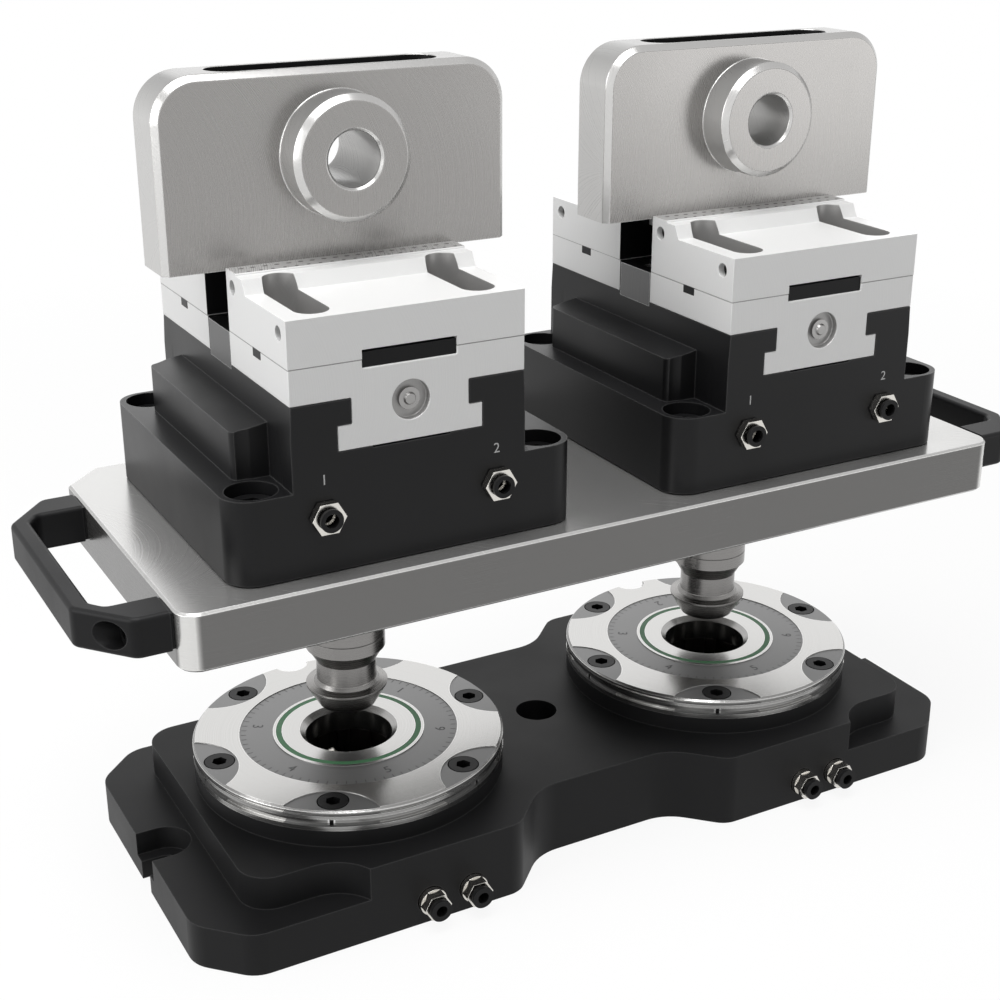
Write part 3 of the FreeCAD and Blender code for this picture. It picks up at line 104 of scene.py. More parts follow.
def addColourMix(tree, factor, first, second):
    node = tree.nodes.new("ShaderNodeMix")
    node.data_type = "RGBA"
    setInput(tree, node.inputs["Factor"], factor)
    setInput(tree, node.inputs[6], first)
    setInput(tree, node.inputs[7], second)
    return node.outputs[2]


def addXYZ(tree, vector):
    node = tree.nodes.new("ShaderNodeSeparateXYZ")
    setInput(tree, node.inputs[0], vector)
    return node.outputs


def placed(tree, group, **values):
    node = tree.nodes.new("ShaderNodeGroup")
    node.node_tree = group
    for label, value in values.items():
        setInput(tree, node.inputs[label], value)
    return node


# effects shared by several finishes

bevelSamples = 4
bumpDepth = {"fine": 0.02 * mm, "grain": 0.05 * mm}


def makeEdgeWearAndHighlight():
    # a mask that is bright along sharp edges, where the edges are painted paler: partly wear, partly a
    # painted highlight
    group, start, end = newGroup("edgeWear", [("Radius", "NodeSocketFloat", 0.0006)],
                                 [("Mask", "NodeSocketFloat")])
    bevel = group.nodes.new("ShaderNodeBevel")
    bevel.samples = bevelSamples
    group.links.new(start.outputs["Radius"], bevel.inputs["Radius"])
    geometry = group.nodes.new("ShaderNodeNewGeometry")
    dot = group.nodes.new("ShaderNodeVectorMath")
    dot.operation = "DOT_PRODUCT"
    group.links.new(bevel.outputs["Normal"], dot.inputs[0])
    group.links.new(geometry.outputs["Normal"], dot.inputs[1])
    mask = addRange(group, dot.outputs["Value"], 0.995, 0.86)
    group.links.new(mask, end.inputs["Mask"])
    return group


def makeCutterArcs():
    # value that follows the arcs a face mill leaves, seen on whichever flat a point lies on
    group, start, end = newGroup(
        "cutterArcs",
        [("Radius", "NodeSocketFloat", 0.05), ("Fineness", "NodeSocketFloat", 900.0)],
        [("Value", "NodeSocketFloat")])
    place = group.nodes.new("ShaderNodeTexCoord")
    geometry = group.nodes.new("ShaderNodeNewGeometry")
    x, y, z = addXYZ(group, place.outputs["Object"])
    normalX, normalY, normalZ = addXYZ(group, geometry.outputs["Normal"])
    facesUp = addMath(group, "GREATER_THAN", addMath(group, "ABSOLUTE", normalZ), 0.7)
    facesEnd = addMath(group, "GREATER_THAN", addMath(group, "ABSOLUTE", normalX), 0.7)
    across = addMath(group, "ADD", addMath(group, "MULTIPLY", x, addMath(group, "SUBTRACT", 1.0, facesEnd)),
                     addMath(group, "MULTIPLY", y, facesEnd))
    up = addMath(group, "ADD", addMath(group, "MULTIPLY", z, addMath(group, "SUBTRACT", 1.0, facesUp)),
                 addMath(group, "MULTIPLY", y, facesUp))
    radius = start.outputs["Radius"]
    height = addMath(group, "PINGPONG", up, radius)
    inside = addMath(group, "SUBTRACT", addMath(group, "MULTIPLY", radius, radius),
                     addMath(group, "MULTIPLY", height, height))
    bow = addMath(group, "SQRT", addMath(group, "MAXIMUM", inside, 0.0))
    travel = addMath(group, "SUBTRACT", across, bow)
    group.links.new(addLineNoise(group, travel, start.outputs["Fineness"]), end.inputs["Value"])
    return group


def makeTurnedRings():
    # fine rings about a vertical axis at Centre X
    group, start, end = newGroup(
        "turnedRings", [("Centre X", "NodeSocketFloat", 0.1), ("Fineness", "NodeSocketFloat", 2500.0)],
        [("Value", "NodeSocketFloat"), ("Radius", "NodeSocketFloat"), ("Angle", "NodeSocketFloat")])
    place = group.nodes.new("ShaderNodeTexCoord")
    x, y, z = addXYZ(group, place.outputs["Object"])
    offset = addMath(group, "SUBTRACT", x, start.outputs["Centre X"])
    radius = addMath(group, "SQRT", addMath(group, "ADD", addMath(group, "MULTIPLY", offset, offset),
                                            addMath(group, "MULTIPLY", y, y)))
    angle = addMath(group, "ARCTAN2", y, offset)
    group.links.new(addLineNoise(group, radius, start.outputs["Fineness"]), end.inputs["Value"])
    group.links.new(radius, end.inputs["Radius"])
    group.links.new(angle, end.inputs["Angle"])
    return group


def makeHandling():
    # soft cloudy variation, as from wiping and handling
    group, start, end = newGroup("handling", [("Scale", "NodeSocketFloat", 20.0)],
                                 [("Value", "NodeSocketFloat")])
    place = group.nodes.new("ShaderNodeTexCoord")
    noise = addNoise(group, place.outputs["Object"], start.outputs["Scale"], 5.0, 0.6)
    group.links.new(noise, end.inputs["Value"])
    return group


edgeWear = makeEdgeWearAndHighlight()
cutterArcs = makeCutterArcs()
turnedRings = makeTurnedRings()
handling = makeHandling()


def newMaterial(name, metallic, specular=0.5):
    material = bpy.data.materials.new(name)
    material.use_nodes = True
    tree = material.node_tree
    shader = tree.nodes["Principled BSDF"]
    shader.inputs["Metallic"].default_value = metallic
    shader.inputs["Specular IOR Level"].default_value = specular
    return material, tree, shader


def roundedNormal(tree, shader, height, distance, strength, radius):
    # bump over a normal that is rounded at the edges
    bevel = tree.nodes.new("ShaderNodeBevel")
    bevel.samples = bevelSamples
    bevel.inputs["Radius"].default_value = radius
    bump = tree.nodes.new("ShaderNodeBump")
    bump.inputs["Distance"].default_value = distance
    bump.inputs["Strength"].default_value = strength
    tree.links.new(height, bump.inputs["Height"])
    tree.links.new(bevel.outputs["Normal"], bump.inputs["Normal"])
    tree.links.new(bump.outputs["Normal"], shader.inputs["Normal"])


def fineBump(tree, shader, height, distance, strength):
    # bump for pieces whose edges are already rounded
    bump = tree.nodes.new("ShaderNodeBump")
    bump.inputs["Distance"].default_value = distance
    bump.inputs["Strength"].default_value = strength
    tree.links.new(height, bump.inputs["Height"])
    tree.links.new(bump.outputs["Normal"], shader.inputs["Normal"])


def darkFinish(name, look):
    # black anodised, oxidised or coated metal: satin, and painted paler along its edges, partly as wear and
    # partly as a painted highlight
    material, tree, shader = newMaterial(name, look["metallic"], look["specular"])
    wearAndHighlight = placed(tree, edgeWear, Radius=look["edgeRadius"]).outputs["Mask"]
    clouds = placed(tree, handling, Scale=look["cloudScale"]).outputs["Value"]
    place = tree.nodes.new("ShaderNodeTexCoord")
    grain = addNoise(tree, place.outputs["Object"], look["grainScale"], 2.0)
    body = addColourMix(tree, clouds, look["dark"], look["light"])
    colour = addColourMix(tree, addMath(tree, "MULTIPLY", wearAndHighlight, look["edgeAmount"]), body, look["edge"])
    tree.links.new(colour, shader.inputs["Base Color"])
    rough = addRange(tree, clouds, 0.3, 0.7, look["rough"] - 0.05, look["rough"] + 0.05)
    tree.links.new(rough, shader.inputs["Roughness"])
    fineBump(tree, shader, grain, bumpDepth["grain"], look["grain"])
    return material


def brightFinish(name, look):
    # milled or ground metal with cutter arcs
    material, tree, shader = newMaterial(name, look["metallic"])
    wearAndHighlight = placed(tree, edgeWear, Radius=look["edgeRadius"]).outputs["Mask"]
    clouds = placed(tree, handling, Scale=look["cloudScale"]).outputs["Value"]
    arcs = placed(tree, cutterArcs, Radius=look["arcRadius"], Fineness=look["fineness"]).outputs["Value"]
    amount = addRange(tree, arcs, 0.25, 0.75)
    body = addColourMix(tree, amount, look["dark"], look["light"])
    if look["sideLines"]:
        # the sides are brushed along their length, and painted darker than the milled top: painted shade
        geometry = tree.nodes.new("ShaderNodeNewGeometry")
        place = tree.nodes.new("ShaderNodeTexCoord")
        lean = addMath(tree, "ABSOLUTE", addXYZ(tree, geometry.outputs["Normal"])[2])
        upright = addMath(tree, "LESS_THAN", lean, 0.7)
        height = addXYZ(tree, place.outputs["Object"])[2]
        lines = addRange(tree, addLineNoise(tree, height, look["sideLines"]), 0.3, 0.7)
        # the rounded corners are painted bright: a painted highlight on the corner radii
        normalX, normalY, normalZ = addXYZ(tree, geometry.outputs["Normal"])
        facing = addMath(tree, "MAXIMUM", addMath(tree, "ABSOLUTE", normalX),
                         addMath(tree, "ABSOLUTE", normalY))
        cornerHighlight = addRange(tree, facing, 0.995, 0.93)
        side = addColourMix(tree, lines, look["shadedSideDark"], look["shadedSideLight"])
        body = addColourMix(tree, upright, body, addColourMix(tree, cornerHighlight, side, look["sideCornerHighlight"]))
        arcs = addRange(tree, upright, 0, 1, arcs, lines)
        amount = addRange(tree, upright, 0, 1, amount, lines)
    if look["topShade"]:
        # faces that look up are painted darker than the ground sides: painted shade on the tops
        normal = tree.nodes.new("ShaderNodeNewGeometry").outputs["Normal"]
        body = addColourMix(tree, addRange(tree, addXYZ(tree, normal)[2], 0.1, 0.9), body, look["topShade"])
    # the edges are painted paler: partly wear, partly a painted highlight
    colour = addColourMix(tree, addMath(tree, "MULTIPLY", wearAndHighlight, look["edgeAmount"]), body, look["edge"])
    tree.links.new(colour, shader.inputs["Base Color"])
    spread = addMath(tree, "MULTIPLY", addMath(tree, "SUBTRACT", amount, 0.5), look["roughSpread"])
    soft = addRange(tree, clouds, 0.3, 0.7, look["rough"] - 0.03, look["rough"] + 0.03)
    tree.links.new(addMath(tree, "ADD", soft, spread), shader.inputs["Roughness"])
    fineBump(tree, shader, arcs, bumpDepth["fine"], look["bump"])
    return material


def plainFinish(name, look):
    # small parts: one body colour with soft variation
    material, tree, shader = newMaterial(name, look["metallic"])
    clouds = placed(tree, handling, Scale=look["cloudScale"]).outputs["Value"]
    colour = addColourMix(tree, clouds, look["dark"], look["light"])
    tree.links.new(colour, shader.inputs["Base Color"])
    tree.links.new(addRange(tree, clouds, 0.3, 0.7, look["rough"] - 0.04, look["rough"] + 0.04),
                   shader.inputs["Roughness"])
    roundedNormal(tree, shader, clouds, bumpDepth["fine"], 0.2, look["edgeRadius"])
    return material


housingLook = {"bright": (0.46, 0.456, 0.448, 1), "shade": (0.35, 0.347, 0.34, 1),
               "matte": (0.23, 0.23, 0.23, 1), "edge": (0.9, 0.9, 0.89, 1), "fineness": 2600.0,
               "rough": 0.22, "matteRough": 0.48, "labelInner": 34.8 * mm, "labelOuter": 50.0 * mm,
               "scallopPlace": 78.5 * mm, "scallopRadius": 23.4 * mm, "screws": 6, "rimLines": 1400.0,
               "rimRadius": 52.0 * mm, "rimShadeDark": (0.16, 0.158, 0.155, 1), "edgeRadius": 0.5 * mm,
               "edgeAmount": 0.7, "bump": 0.35}


def housingFinish(name, centreX, look):
    # turned steel ring: bright lands, matte label ring and matte scallops round the screws
    material, tree, shader = newMaterial(name, 1.0)
    rings = placed(tree, turnedRings, **{"Centre X": centreX, "Fineness": look["fineness"]})
    radius = rings.outputs["Radius"]
    wearAndHighlight = placed(tree, edgeWear, Radius=look["edgeRadius"]).outputs["Mask"]
    label = addMath(tree, "MULTIPLY", addMath(tree, "GREATER_THAN", radius, look["labelInner"]),
                    addMath(tree, "LESS_THAN", radius, look["labelOuter"]))
    step = math.tau / look["screws"]
    folded = addMath(tree, "PINGPONG", rings.outputs["Angle"], step / 2)
    offset = addMath(tree, "SUBTRACT", addMath(tree, "MULTIPLY", radius, addMath(tree, "COSINE", folded)),
                     look["scallopPlace"])
    side = addMath(tree, "MULTIPLY", radius, addMath(tree, "SINE", folded))
    reach = addMath(tree, "SQRT", addMath(tree, "ADD", addMath(tree, "MULTIPLY", offset, offset),
                                          addMath(tree, "MULTIPLY", side, side)))
    scallop = addMath(tree, "LESS_THAN", reach, look["scallopRadius"])
    geometry = tree.nodes.new("ShaderNodeNewGeometry")
    up = addMath(tree, "GREATER_THAN", addXYZ(tree, geometry.outputs["Normal"])[2], 0.9)
    matte = addMath(tree, "MULTIPLY", addMath(tree, "MAXIMUM", label, scallop), up)
    body = addColourMix(tree, rings.outputs["Value"], look["shade"], look["bright"])
    place = tree.nodes.new("ShaderNodeTexCoord")
    height = addXYZ(tree, place.outputs["Object"])[2]
    lines = addRange(tree, addLineNoise(tree, height, look["rimLines"]), 0.3, 0.7)
    # the flange sides are painted darker than the lands, with turned lines on them: painted shade
    rimShade = addMath(tree, "MULTIPLY", addMath(tree, "SUBTRACT", 1.0, up),
                  addMath(tree, "GREATER_THAN", radius, look["rimRadius"]))
    body = addColourMix(tree, rimShade, body, addColourMix(tree, lines, look["rimShadeDark"], look["shade"]))
    # the edges are painted paler: partly wear, partly a painted highlight
    body = addColourMix(tree, addMath(tree, "MULTIPLY", wearAndHighlight, look["edgeAmount"]), body, look["edge"])
    tree.links.new(addColourMix(tree, matte, body, look["matte"]), shader.inputs["Base Color"])
    tree.links.new(addRange(tree, matte, 0, 1, look["rough"], look["matteRough"]), shader.inputs["Roughness"])
    fineBump(tree, shader, rings.outputs["Value"], bumpDepth["fine"], look["bump"])
    return material


def turnedFinish(name, look):
    # turned steel with fine lines round it
    material, tree, shader = newMaterial(name, 1.0)
    place = tree.nodes.new("ShaderNodeTexCoord")
    height = addXYZ(tree, place.outputs["Object"])[2]
    lines = addLineNoise(tree, height, look["fineness"])
    tree.links.new(addColourMix(tree, lines, look["dark"], look["light"]), shader.inputs["Base Color"])
    tree.links.new(addRange(tree, lines, 0.3, 0.7, look["rough"] - 0.04, look["rough"] + 0.06),
                   shader.inputs["Roughness"])
    roundedNormal(tree, shader, lines, bumpDepth["fine"], 0.3, look["edgeRadius"])
    return material


black = {"metallic": 0.0, "specular": 0.16, "dark": (0.006, 0.006, 0.0065, 1),
         "light": (0.011, 0.011, 0.0115, 1), "edge": (0.09, 0.09, 0.09, 1), "edgeAmount": 0.45,
         "edgeRadius": 0.0009, "rough": 0.48, "cloudScale": 14.0, "grainScale": 1800.0, "grain": 0.25}
blackPlate = darkFinish("blackAnodisedPlate", black)
blackVise = darkFinish("blackViseSteel", {**black, "rough": 0.36, "edgeAmount": 0.6, "specular": 0.2,
                                          "dark": (0.005, 0.005, 0.0055, 1),
                                          "light": (0.009, 0.009, 0.0095, 1)})
blackHandle = darkFinish("blackHandleCoat", {**black, "rough": 0.45, "edgeAmount": 0.35})
blackOxide = darkFinish("blackOxideScrew", {**black, "rough": 0.36, "metallic": 0.3,
                                            "edgeRadius": 0.0003})
blackPlastic = darkFinish("blackMoulding", {**black, "rough": 0.4, "edgeRadius": 0.0002,
                                            "edgeAmount": 0.3})

bright = {"metallic": 0.75, "dark": (0.42, 0.417, 0.41, 1), "light": (0.52, 0.517, 0.51, 1),
          "edge": (0.92, 0.92, 0.91, 1), "edgeAmount": 0.8, "topShade": None,
          "edgeRadius": 0.0008, "arcRadius": 0.060, "fineness": 1900.0, "rough": 0.28, "roughSpread": 0.08,
          "bump": 0.16, "cloudScale": 9.0, "sideLines": 0.0,
          "shadedSideDark": (0.13, 0.128, 0.125, 1), "shadedSideLight": (0.19, 0.187, 0.183, 1),
          "sideCornerHighlight": (0.72, 0.715, 0.70, 1)}
milledPallet = brightFinish("milledPallet", {**bright, "sideLines": 5200.0, "fineness": 1500.0,
                                             "rough": 0.24})
milledWork = brightFinish("milledWorkpiece", {**bright, "arcRadius": 0.075, "rough": 0.27, "bump": 0.07,
                                              "dark": (0.30, 0.292, 0.284, 1),
                                              "light": (0.345, 0.336, 0.327, 1)})
groundJaw = brightFinish("groundJaw", {**bright, "metallic": 0.08, "rough": 0.42, "roughSpread": 0.04,
                                       "bump": 0.05, "fineness": 2600.0, "edgeRadius": 0.0004,
                                       "dark": (0.72, 0.72, 0.715, 1), "light": (0.77, 0.77, 0.765, 1),
                                       "edge": (0.84, 0.84, 0.835, 1)})
chamferHighlight = brightFinish("chamferHighlight", {**bright, "metallic": 0.7, "rough": 0.22, "bump": 0.03,
                                               "dark": (0.60, 0.595, 0.585, 1),
                                               "light": (0.68, 0.675, 0.665, 1),
                                               "edgeAmount": 0.2, "topShade": (0.36, 0.355, 0.35, 1)})
litWorkSide = brightFinish("paintedLitWorkSide", {**bright, "metallic": 0.6, "rough": 0.3, "bump": 0.05,
                                           "fineness": 2600.0, "dark": (0.52, 0.515, 0.505, 1),
                                           "light": (0.57, 0.565, 0.555, 1), "edgeAmount": 0.2,
                                           "topShade": (0.23, 0.228, 0.224, 1)})
shadedMilledPocket = brightFinish("shadedMilledPocket", {**bright, "metallic": 0.4, "rough": 0.35, "bump": 0.05,
                                             "fineness": 2600.0, "dark": (0.34, 0.335, 0.33, 1),
                                             "light": (0.39, 0.385, 0.38, 1), "edgeAmount": 0.4})
gripStrip = brightFinish("gripStrip", {**bright, "metallic": 0.4, "rough": 0.3, "bump": 0.05,
                                       "fineness": 2600.0, "dark": (0.46, 0.455, 0.45, 1),
                                       "light": (0.52, 0.515, 0.51, 1)})
jawSeamShade = brightFinish("jawSeamShade", {**bright, "metallic": 0.2, "rough": 0.4, "bump": 0.05,
                                   "fineness": 2600.0, "dark": (0.30, 0.298, 0.295, 1),
                                   "light": (0.36, 0.357, 0.353, 1), "edgeAmount": 0.0})
greyBlock = brightFinish("greyCentreBlock", {**bright, "rough": 0.4, "dark": (0.10, 0.10, 0.10, 1),
                                             "light": (0.14, 0.14, 0.14, 1), "edgeRadius": 0.0004})
small = {"metallic": 1.0, "dark": (0.62, 0.60, 0.56, 1), "light": (0.74, 0.72, 0.68, 1), "rough": 0.2,
         "cloudScale": 120.0, "edgeRadius": 0.0003}
nickel = plainFinish("nickelFitting", small)
dullNickel = plainFinish("dullNickel", {**small, "dark": (0.26, 0.255, 0.25, 1),
                                        "light": (0.36, 0.355, 0.35, 1), "rough": 0.3})
darkCage = plainFinish("darkCageSteel", {**small, "dark": (0.05, 0.045, 0.04, 1),
                                         "light": (0.10, 0.09, 0.085, 1), "rough": 0.35})
greenSeal = plainFinish("greenSeal", {**small, "metallic": 0.0, "dark": (0.04, 0.20, 0.075, 1),
                                      "light": (0.055, 0.26, 0.10, 1), "rough": 0.5})
studSteel = turnedFinish("turnedStudSteel", {"dark": (0.18, 0.175, 0.17, 1),
                                             "light": (0.31, 0.303, 0.296, 1), "rough": 0.26,
                                             "fineness": 3000.0, "edgeRadius": 0.4 * mm})
print("materials ready")


# pieces made from the CAD nodes, with their edges rounded

def deselectAll():
    if bpy.context.object and bpy.context.object.mode != "OBJECT":
        bpy.ops.object.mode_set(mode="OBJECT")
    bpy.ops.object.select_all(action="DESELECT")


def makeActive(piece):
    deselectAll()
    piece.select_set(True)
    bpy.context.view_layer.objects.active = piece


def setMaterial(piece, material):
    piece.data.materials.clear()
    piece.data.materials.append(material)


def attach(piece, body):
    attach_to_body(piece, body)


rounding = {"merge": 0.002 * mm, "flatAngle": 0.3, "segments": 2, "edgeAngle": 28.0, "smoothAngle": 30.0,
            "sliver": 0.16 * mm, "faceWeight": 100}


def roundedCopy(name, node, width, material):
    # a copy of a node's solid whose sharp edges get a real round, in place of the node
    piece = bpy.data.objects.new(name, nodes[node].data.copy())
    bpy.context.scene.collection.objects.link(piece)
    makeActive(piece)
    bpy.ops.object.mode_set(mode="EDIT")
    bpy.ops.mesh.select_all(action="SELECT")
    bpy.ops.mesh.remove_doubles(threshold=rounding["merge"])
    bpy.ops.mesh.dissolve_limited(angle_limit=math.radians(rounding["flatAngle"]))
    bpy.ops.object.mode_set(mode="OBJECT")
    bevel = piece.modifiers.new("edgeRound", "BEVEL")
    bevel.width = width
    bevel.segments = rounding["segments"]
    bevel.limit_method = "ANGLE"
    bevel.angle_limit = math.radians(rounding["edgeAngle"])
    bevel.miter_outer = "MITER_ARC"
    bpy.ops.object.shade_smooth_by_angle(angle=math.radians(rounding["smoothAngle"]))
    bpy.ops.object.modifier_apply(modifier="edgeRound")
    if node.startswith("workpiece"):
        # slivers that the round leaves on the large flat faces are merged
        bpy.ops.object.mode_set(mode="EDIT")
        bpy.ops.mesh.select_all(action="SELECT")
        bpy.ops.mesh.dissolve_degenerate(threshold=rounding["sliver"])
        bpy.ops.object.mode_set(mode="OBJECT")
    level = piece.modifiers.new("flatFaces", "WEIGHTED_NORMAL")
    level.weight = rounding["faceWeight"]
    level.keep_sharp = True
    bpy.ops.object.modifier_apply(modifier="flatFaces")
    setMaterial(piece, material)
    attach(piece, nodeBody[node])
    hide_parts(node)


roundedPieces = [
    ("basePlate", "base_plate", 0.6 * mm, blackPlate),
    ("palletPlate", "pallet_plate", 0.3 * mm, milledPallet),
    ("handleLeft", "handle_left", 0.3 * mm, blackHandle),
    ("handleRight", "handle_right", 0.3 * mm, blackHandle),
]
for side, x in sides.items():
    title = side.capitalize()
    roundedPieces.append((f"viseBody{title}", f"vise_body_{side}", 0.7 * mm, blackVise))
    roundedPieces.append((f"workpiece{title}", f"workpiece_{side}", 0.3 * mm, milledWork))
    roundedPieces.append((f"housing{title}", f"module_housing_{side}", 0.2 * mm,
                          housingFinish(f"turnedHousing{title}", x, housingLook)))
    for end in ends:
        ending = f"{title}{end.capitalize()}"
        roundedPieces.append((f"baseJaw{ending}", f"base_jaw_{side}_{end}", 0.4 * mm, groundJaw))
        roundedPieces.append((f"topJaw{ending}", f"top_jaw_{side}_{end}", 0.4 * mm, groundJaw))
for name, node, width, material in roundedPieces:
    roundedCopy(name, node, width, material)


def paintPiece(piece, material, chosen):
    # gives the faces of a piece that pass the test a further material
    piece.data.materials.append(material)
    for face in piece.data.polygons:
        if chosen(face):
            face.material_index = len(piece.data.materials) - 1


# areas of the jaws and the workpieces with a finish of their own, most of them painted shade and painted
# highlights

jawAreas = {"scoopOffset": 35.0 * mm, "scoopRadius": 7.1 * mm, "scoopInner": 25.5 * mm,
            "scoopOuter": 70.0 * mm, "scoopFloor": 258.0 * mm, "nippleHeight": 234.0 * mm,
            "nippleRadius": 8.05 * mm, "nippleInner": 71.3 * mm, "nippleOuter": 74.25 * mm,
            "stripHeight": 277.8 * mm, "stripOuter": 24.2 * mm, "seamHeight": 252.8 * mm,
            "seamReach": 0.45 * mm, "gapReach": 14.0 * mm}


def inScoop(face, x):
    # the long pockets in the top jaws
    offset = abs(abs(face.center.x - x) - jawAreas["scoopOffset"])
    return (offset < jawAreas["scoopRadius"] and face.center.z > jawAreas["scoopFloor"]
            and jawAreas["scoopInner"] < abs(face.center.y) < jawAreas["scoopOuter"])


def inNipplePocket(face, x):
    reach = math.hypot(face.center.x - x, face.center.z - jawAreas["nippleHeight"])
    return (reach < jawAreas["nippleRadius"]
            and jawAreas["nippleInner"] < abs(face.center.y) < jawAreas["nippleOuter"])


def onGripStrip(face):
    return (face.center.z > jawAreas["stripHeight"] and face.normal.z > 0.9
            and abs(face.center.y) < jawAreas["stripOuter"])


def inShadedSeam(face):
    # the rounded edges between base jaw and top jaw, where painted shade darkens the seam
    return (abs(face.center.z - jawAreas["seamHeight"]) < jawAreas["seamReach"]
            and abs(face.normal.z) < 0.97)


def inShadedGap(face):
    # the faces of the two jaws that look at each other, which are painted black as painted shade in the gap
    return abs(face.center.y) < jawAreas["gapReach"] and abs(face.normal.y) > 0.9


workAreas = {"sideLean": 0.3, "chamferLean": 0.95, "slotHalfWidth": 9.5 * mm, "slotHalfLength": 49.5 * mm,
             "slotBottom": 333.0 * mm, "slotTop": 351.6 * mm}


def onChamfer(face):
    return workAreas["sideLean"] < abs(face.normal.y) < workAreas["chamferLean"]


def onSide(face):
    return abs(face.normal.y) <= workAreas["sideLean"]


def inShadedSlot(face, x):
    return (abs(face.center.y) < workAreas["slotHalfWidth"]
            and workAreas["slotBottom"] < face.center.z < workAreas["slotTop"]
            and abs(face.center.x - x) < workAreas["slotHalfLength"])


for side, x in sides.items():
    title = side.capitalize()
    for end in ends:
        topJaw = bpy.data.objects[f"topJaw{title}{end.capitalize()}"]
        baseJaw = bpy.data.objects[f"baseJaw{title}{end.capitalize()}"]
        # the scoops get a darker milled finish: painted shade in the pockets
        paintPiece(topJaw, shadedMilledPocket, lambda face: inScoop(face, x))
        paintPiece(topJaw, gripStrip, onGripStrip)
        # the nipple pockets are painted darker: painted shade in the recess
        paintPiece(baseJaw, shadedMilledPocket, lambda face: inNipplePocket(face, x))
        for jaw in (topJaw, baseJaw):
            # the seam edges are painted darker: painted shade
            paintPiece(jaw, jawSeamShade, inShadedSeam)
            # the facing jaw faces are painted black: painted shade in the gap between the jaws
            paintPiece(jaw, blackVise, inShadedGap)
    workpiece = bpy.data.objects[f"workpiece{title}"]
    # the chamfers are painted brighter: a painted highlight
    paintPiece(workpiece, chamferHighlight, onChamfer)
    # the sides and top are painted lighter than the front: painted light, with painted shade on the tops
    paintPiece(workpiece, litWorkSide, onSide)
    # the slot's inner faces are painted black: painted shade in the slot
    paintPiece(workpiece, blackVise, lambda face: inShadedSlot(face, x))
print("rounded pieces:", len(roundedPieces))


# nodes that keep their own shape

plainNodes = {
    "ball_cages": darkCage, "module_screws": blackOxide, "base_fittings": nickel, "stud_screws": blackOxide,
    "handle_screws": blackOxide, "vise_mount_screws": blackOxide, "vise_fittings": nickel,
    "vise_cylinder_covers": groundJaw, "module_seals": greenSeal, "vise_centre_covers": greyBlock,
}
for node in nodes:
    if node.startswith(("clamping_piston", "vise_piston", "spring_pack", "locking_ball")):
        plainNodes[node] = nickel
    elif node.startswith("pull_stud"):
        plainNodes[node] = studSteel
    elif "release_ring" in node:
        plainNodes[node] = blackPlastic
    elif node.startswith("jaw_fixings"):
        plainNodes[node] = blackOxide
for node, material in plainNodes.items():
    setMaterial(nodes[node], material)


fixingAreas = {"nippleInner": 70.0 * mm, "nippleTop": 242.5 * mm, "stripHalfWidth": 13.2 * mm,
               "coverTop": 251.9 * mm}


def onNipple(face):
    return abs(face.center.y) > fixingAreas["nippleInner"] and face.center.z < fixingAreas["nippleTop"]


for node in nodes:
    if node.startswith("jaw_fixings"):
        paintPiece(nodes[node], dullNickel, onNipple)
        paintPiece(nodes[node], groundJaw,
                   lambda face: abs(face.center.y) < fixingAreas["stripHalfWidth"])
paintPiece(nodes["vise_centre_covers"], blackVise,
           lambda face: face.center.z > fixingAreas["coverTop"])

portOffset = 37.3 * mm
tubeBores = {
    "vise_fittings": {"places": [x + sign * portOffset for x in sides.values() for sign in (-1, 1)],
                      "height": 193.0 * mm, "radius": 3.3 * mm},
    "base_fittings": {"places": [-100.0 * mm, -80.0 * mm, 100.0 * mm, 120.0 * mm],
                      "height": 11.0 * mm, "radius": 3.0 * mm},
}


def insideBore(face, bores):
    # true where a face lies inside one of the tube bores along Y
    return any(math.hypot(face.center.x - place, face.center.z - bores["height"]) < bores["radius"]
               for place in bores["places"])


for node, bores in tubeBores.items():
    paintPiece(nodes[node], blackPlastic, lambda face: insideBore(face, bores))
print("plain nodes:", len(plainNodes))


# printed numerals, graduations and grip teeth

printLook = {"metallic": 0.0, "dark": (0.42, 0.42, 0.42, 1), "light": (0.52, 0.52, 0.52, 1), "rough": 0.5,
             "cloudScale": 200.0, "edgeRadius": 0.0001}
palePrint = plainFinish("palePrint", printLook)
greyPrint = plainFinish("greyEngraving", {**printLook, "dark": (0.03, 0.03, 0.03, 1),
                                          "light": (0.05, 0.05, 0.05, 1)})


textSteps = 4  # curve steps between two points of a numeral's outline


def flatText(name, words, size, depth):
    # words as a thin solid, centred on the origin in the XY plane, with their tops towards +Y
    deselectAll()
    bpy.ops.object.text_add(location=(0, 0, 0))
    label = bpy.context.object
    label.data.body = words
    label.data.size = size
    label.data.align_x = "CENTER"
    label.data.align_y = "CENTER"
    label.data.resolution_u = textSteps
    label.data.extrude = depth / 2
    bpy.ops.object.convert(target="MESH")
    label = bpy.context.object
    label.name = name
    return label


def bakePlace(piece):
    makeActive(piece)
    bpy.ops.object.transform_apply(location=True, rotation=True, scale=True)


def joinPieces(name, pieces):
    deselectAll()
    for piece in pieces:
        piece.select_set(True)
    bpy.context.view_layer.objects.active = pieces[0]
    bpy.ops.object.join()
    joined = bpy.context.object
    joined.name = name
    return joined


portPrint = {"size": 6.0 * mm, "depth": 0.06 * mm, "face": -74.5 * mm, "height": 207.5 * mm,
             "offset": portOffset}


def makePortNumerals(side, x):
    # the number above each air port of a vise
    labels = []
    for index, sign in enumerate((-1, 1)):
        label = flatText(f"portNumeral{side}{index}", str(index + 1), portPrint["size"], portPrint["depth"])
        label.rotation_euler = (math.radians(90), 0, 0)
        label.location = (x + sign * portPrint["offset"], portPrint["face"], portPrint["height"])
        bakePlace(label)
        labels.append(label)
    whole = joinPieces(f"portNumerals{side.capitalize()}", labels)
    setMaterial(whole, palePrint)
    attach(whole, "pallet")


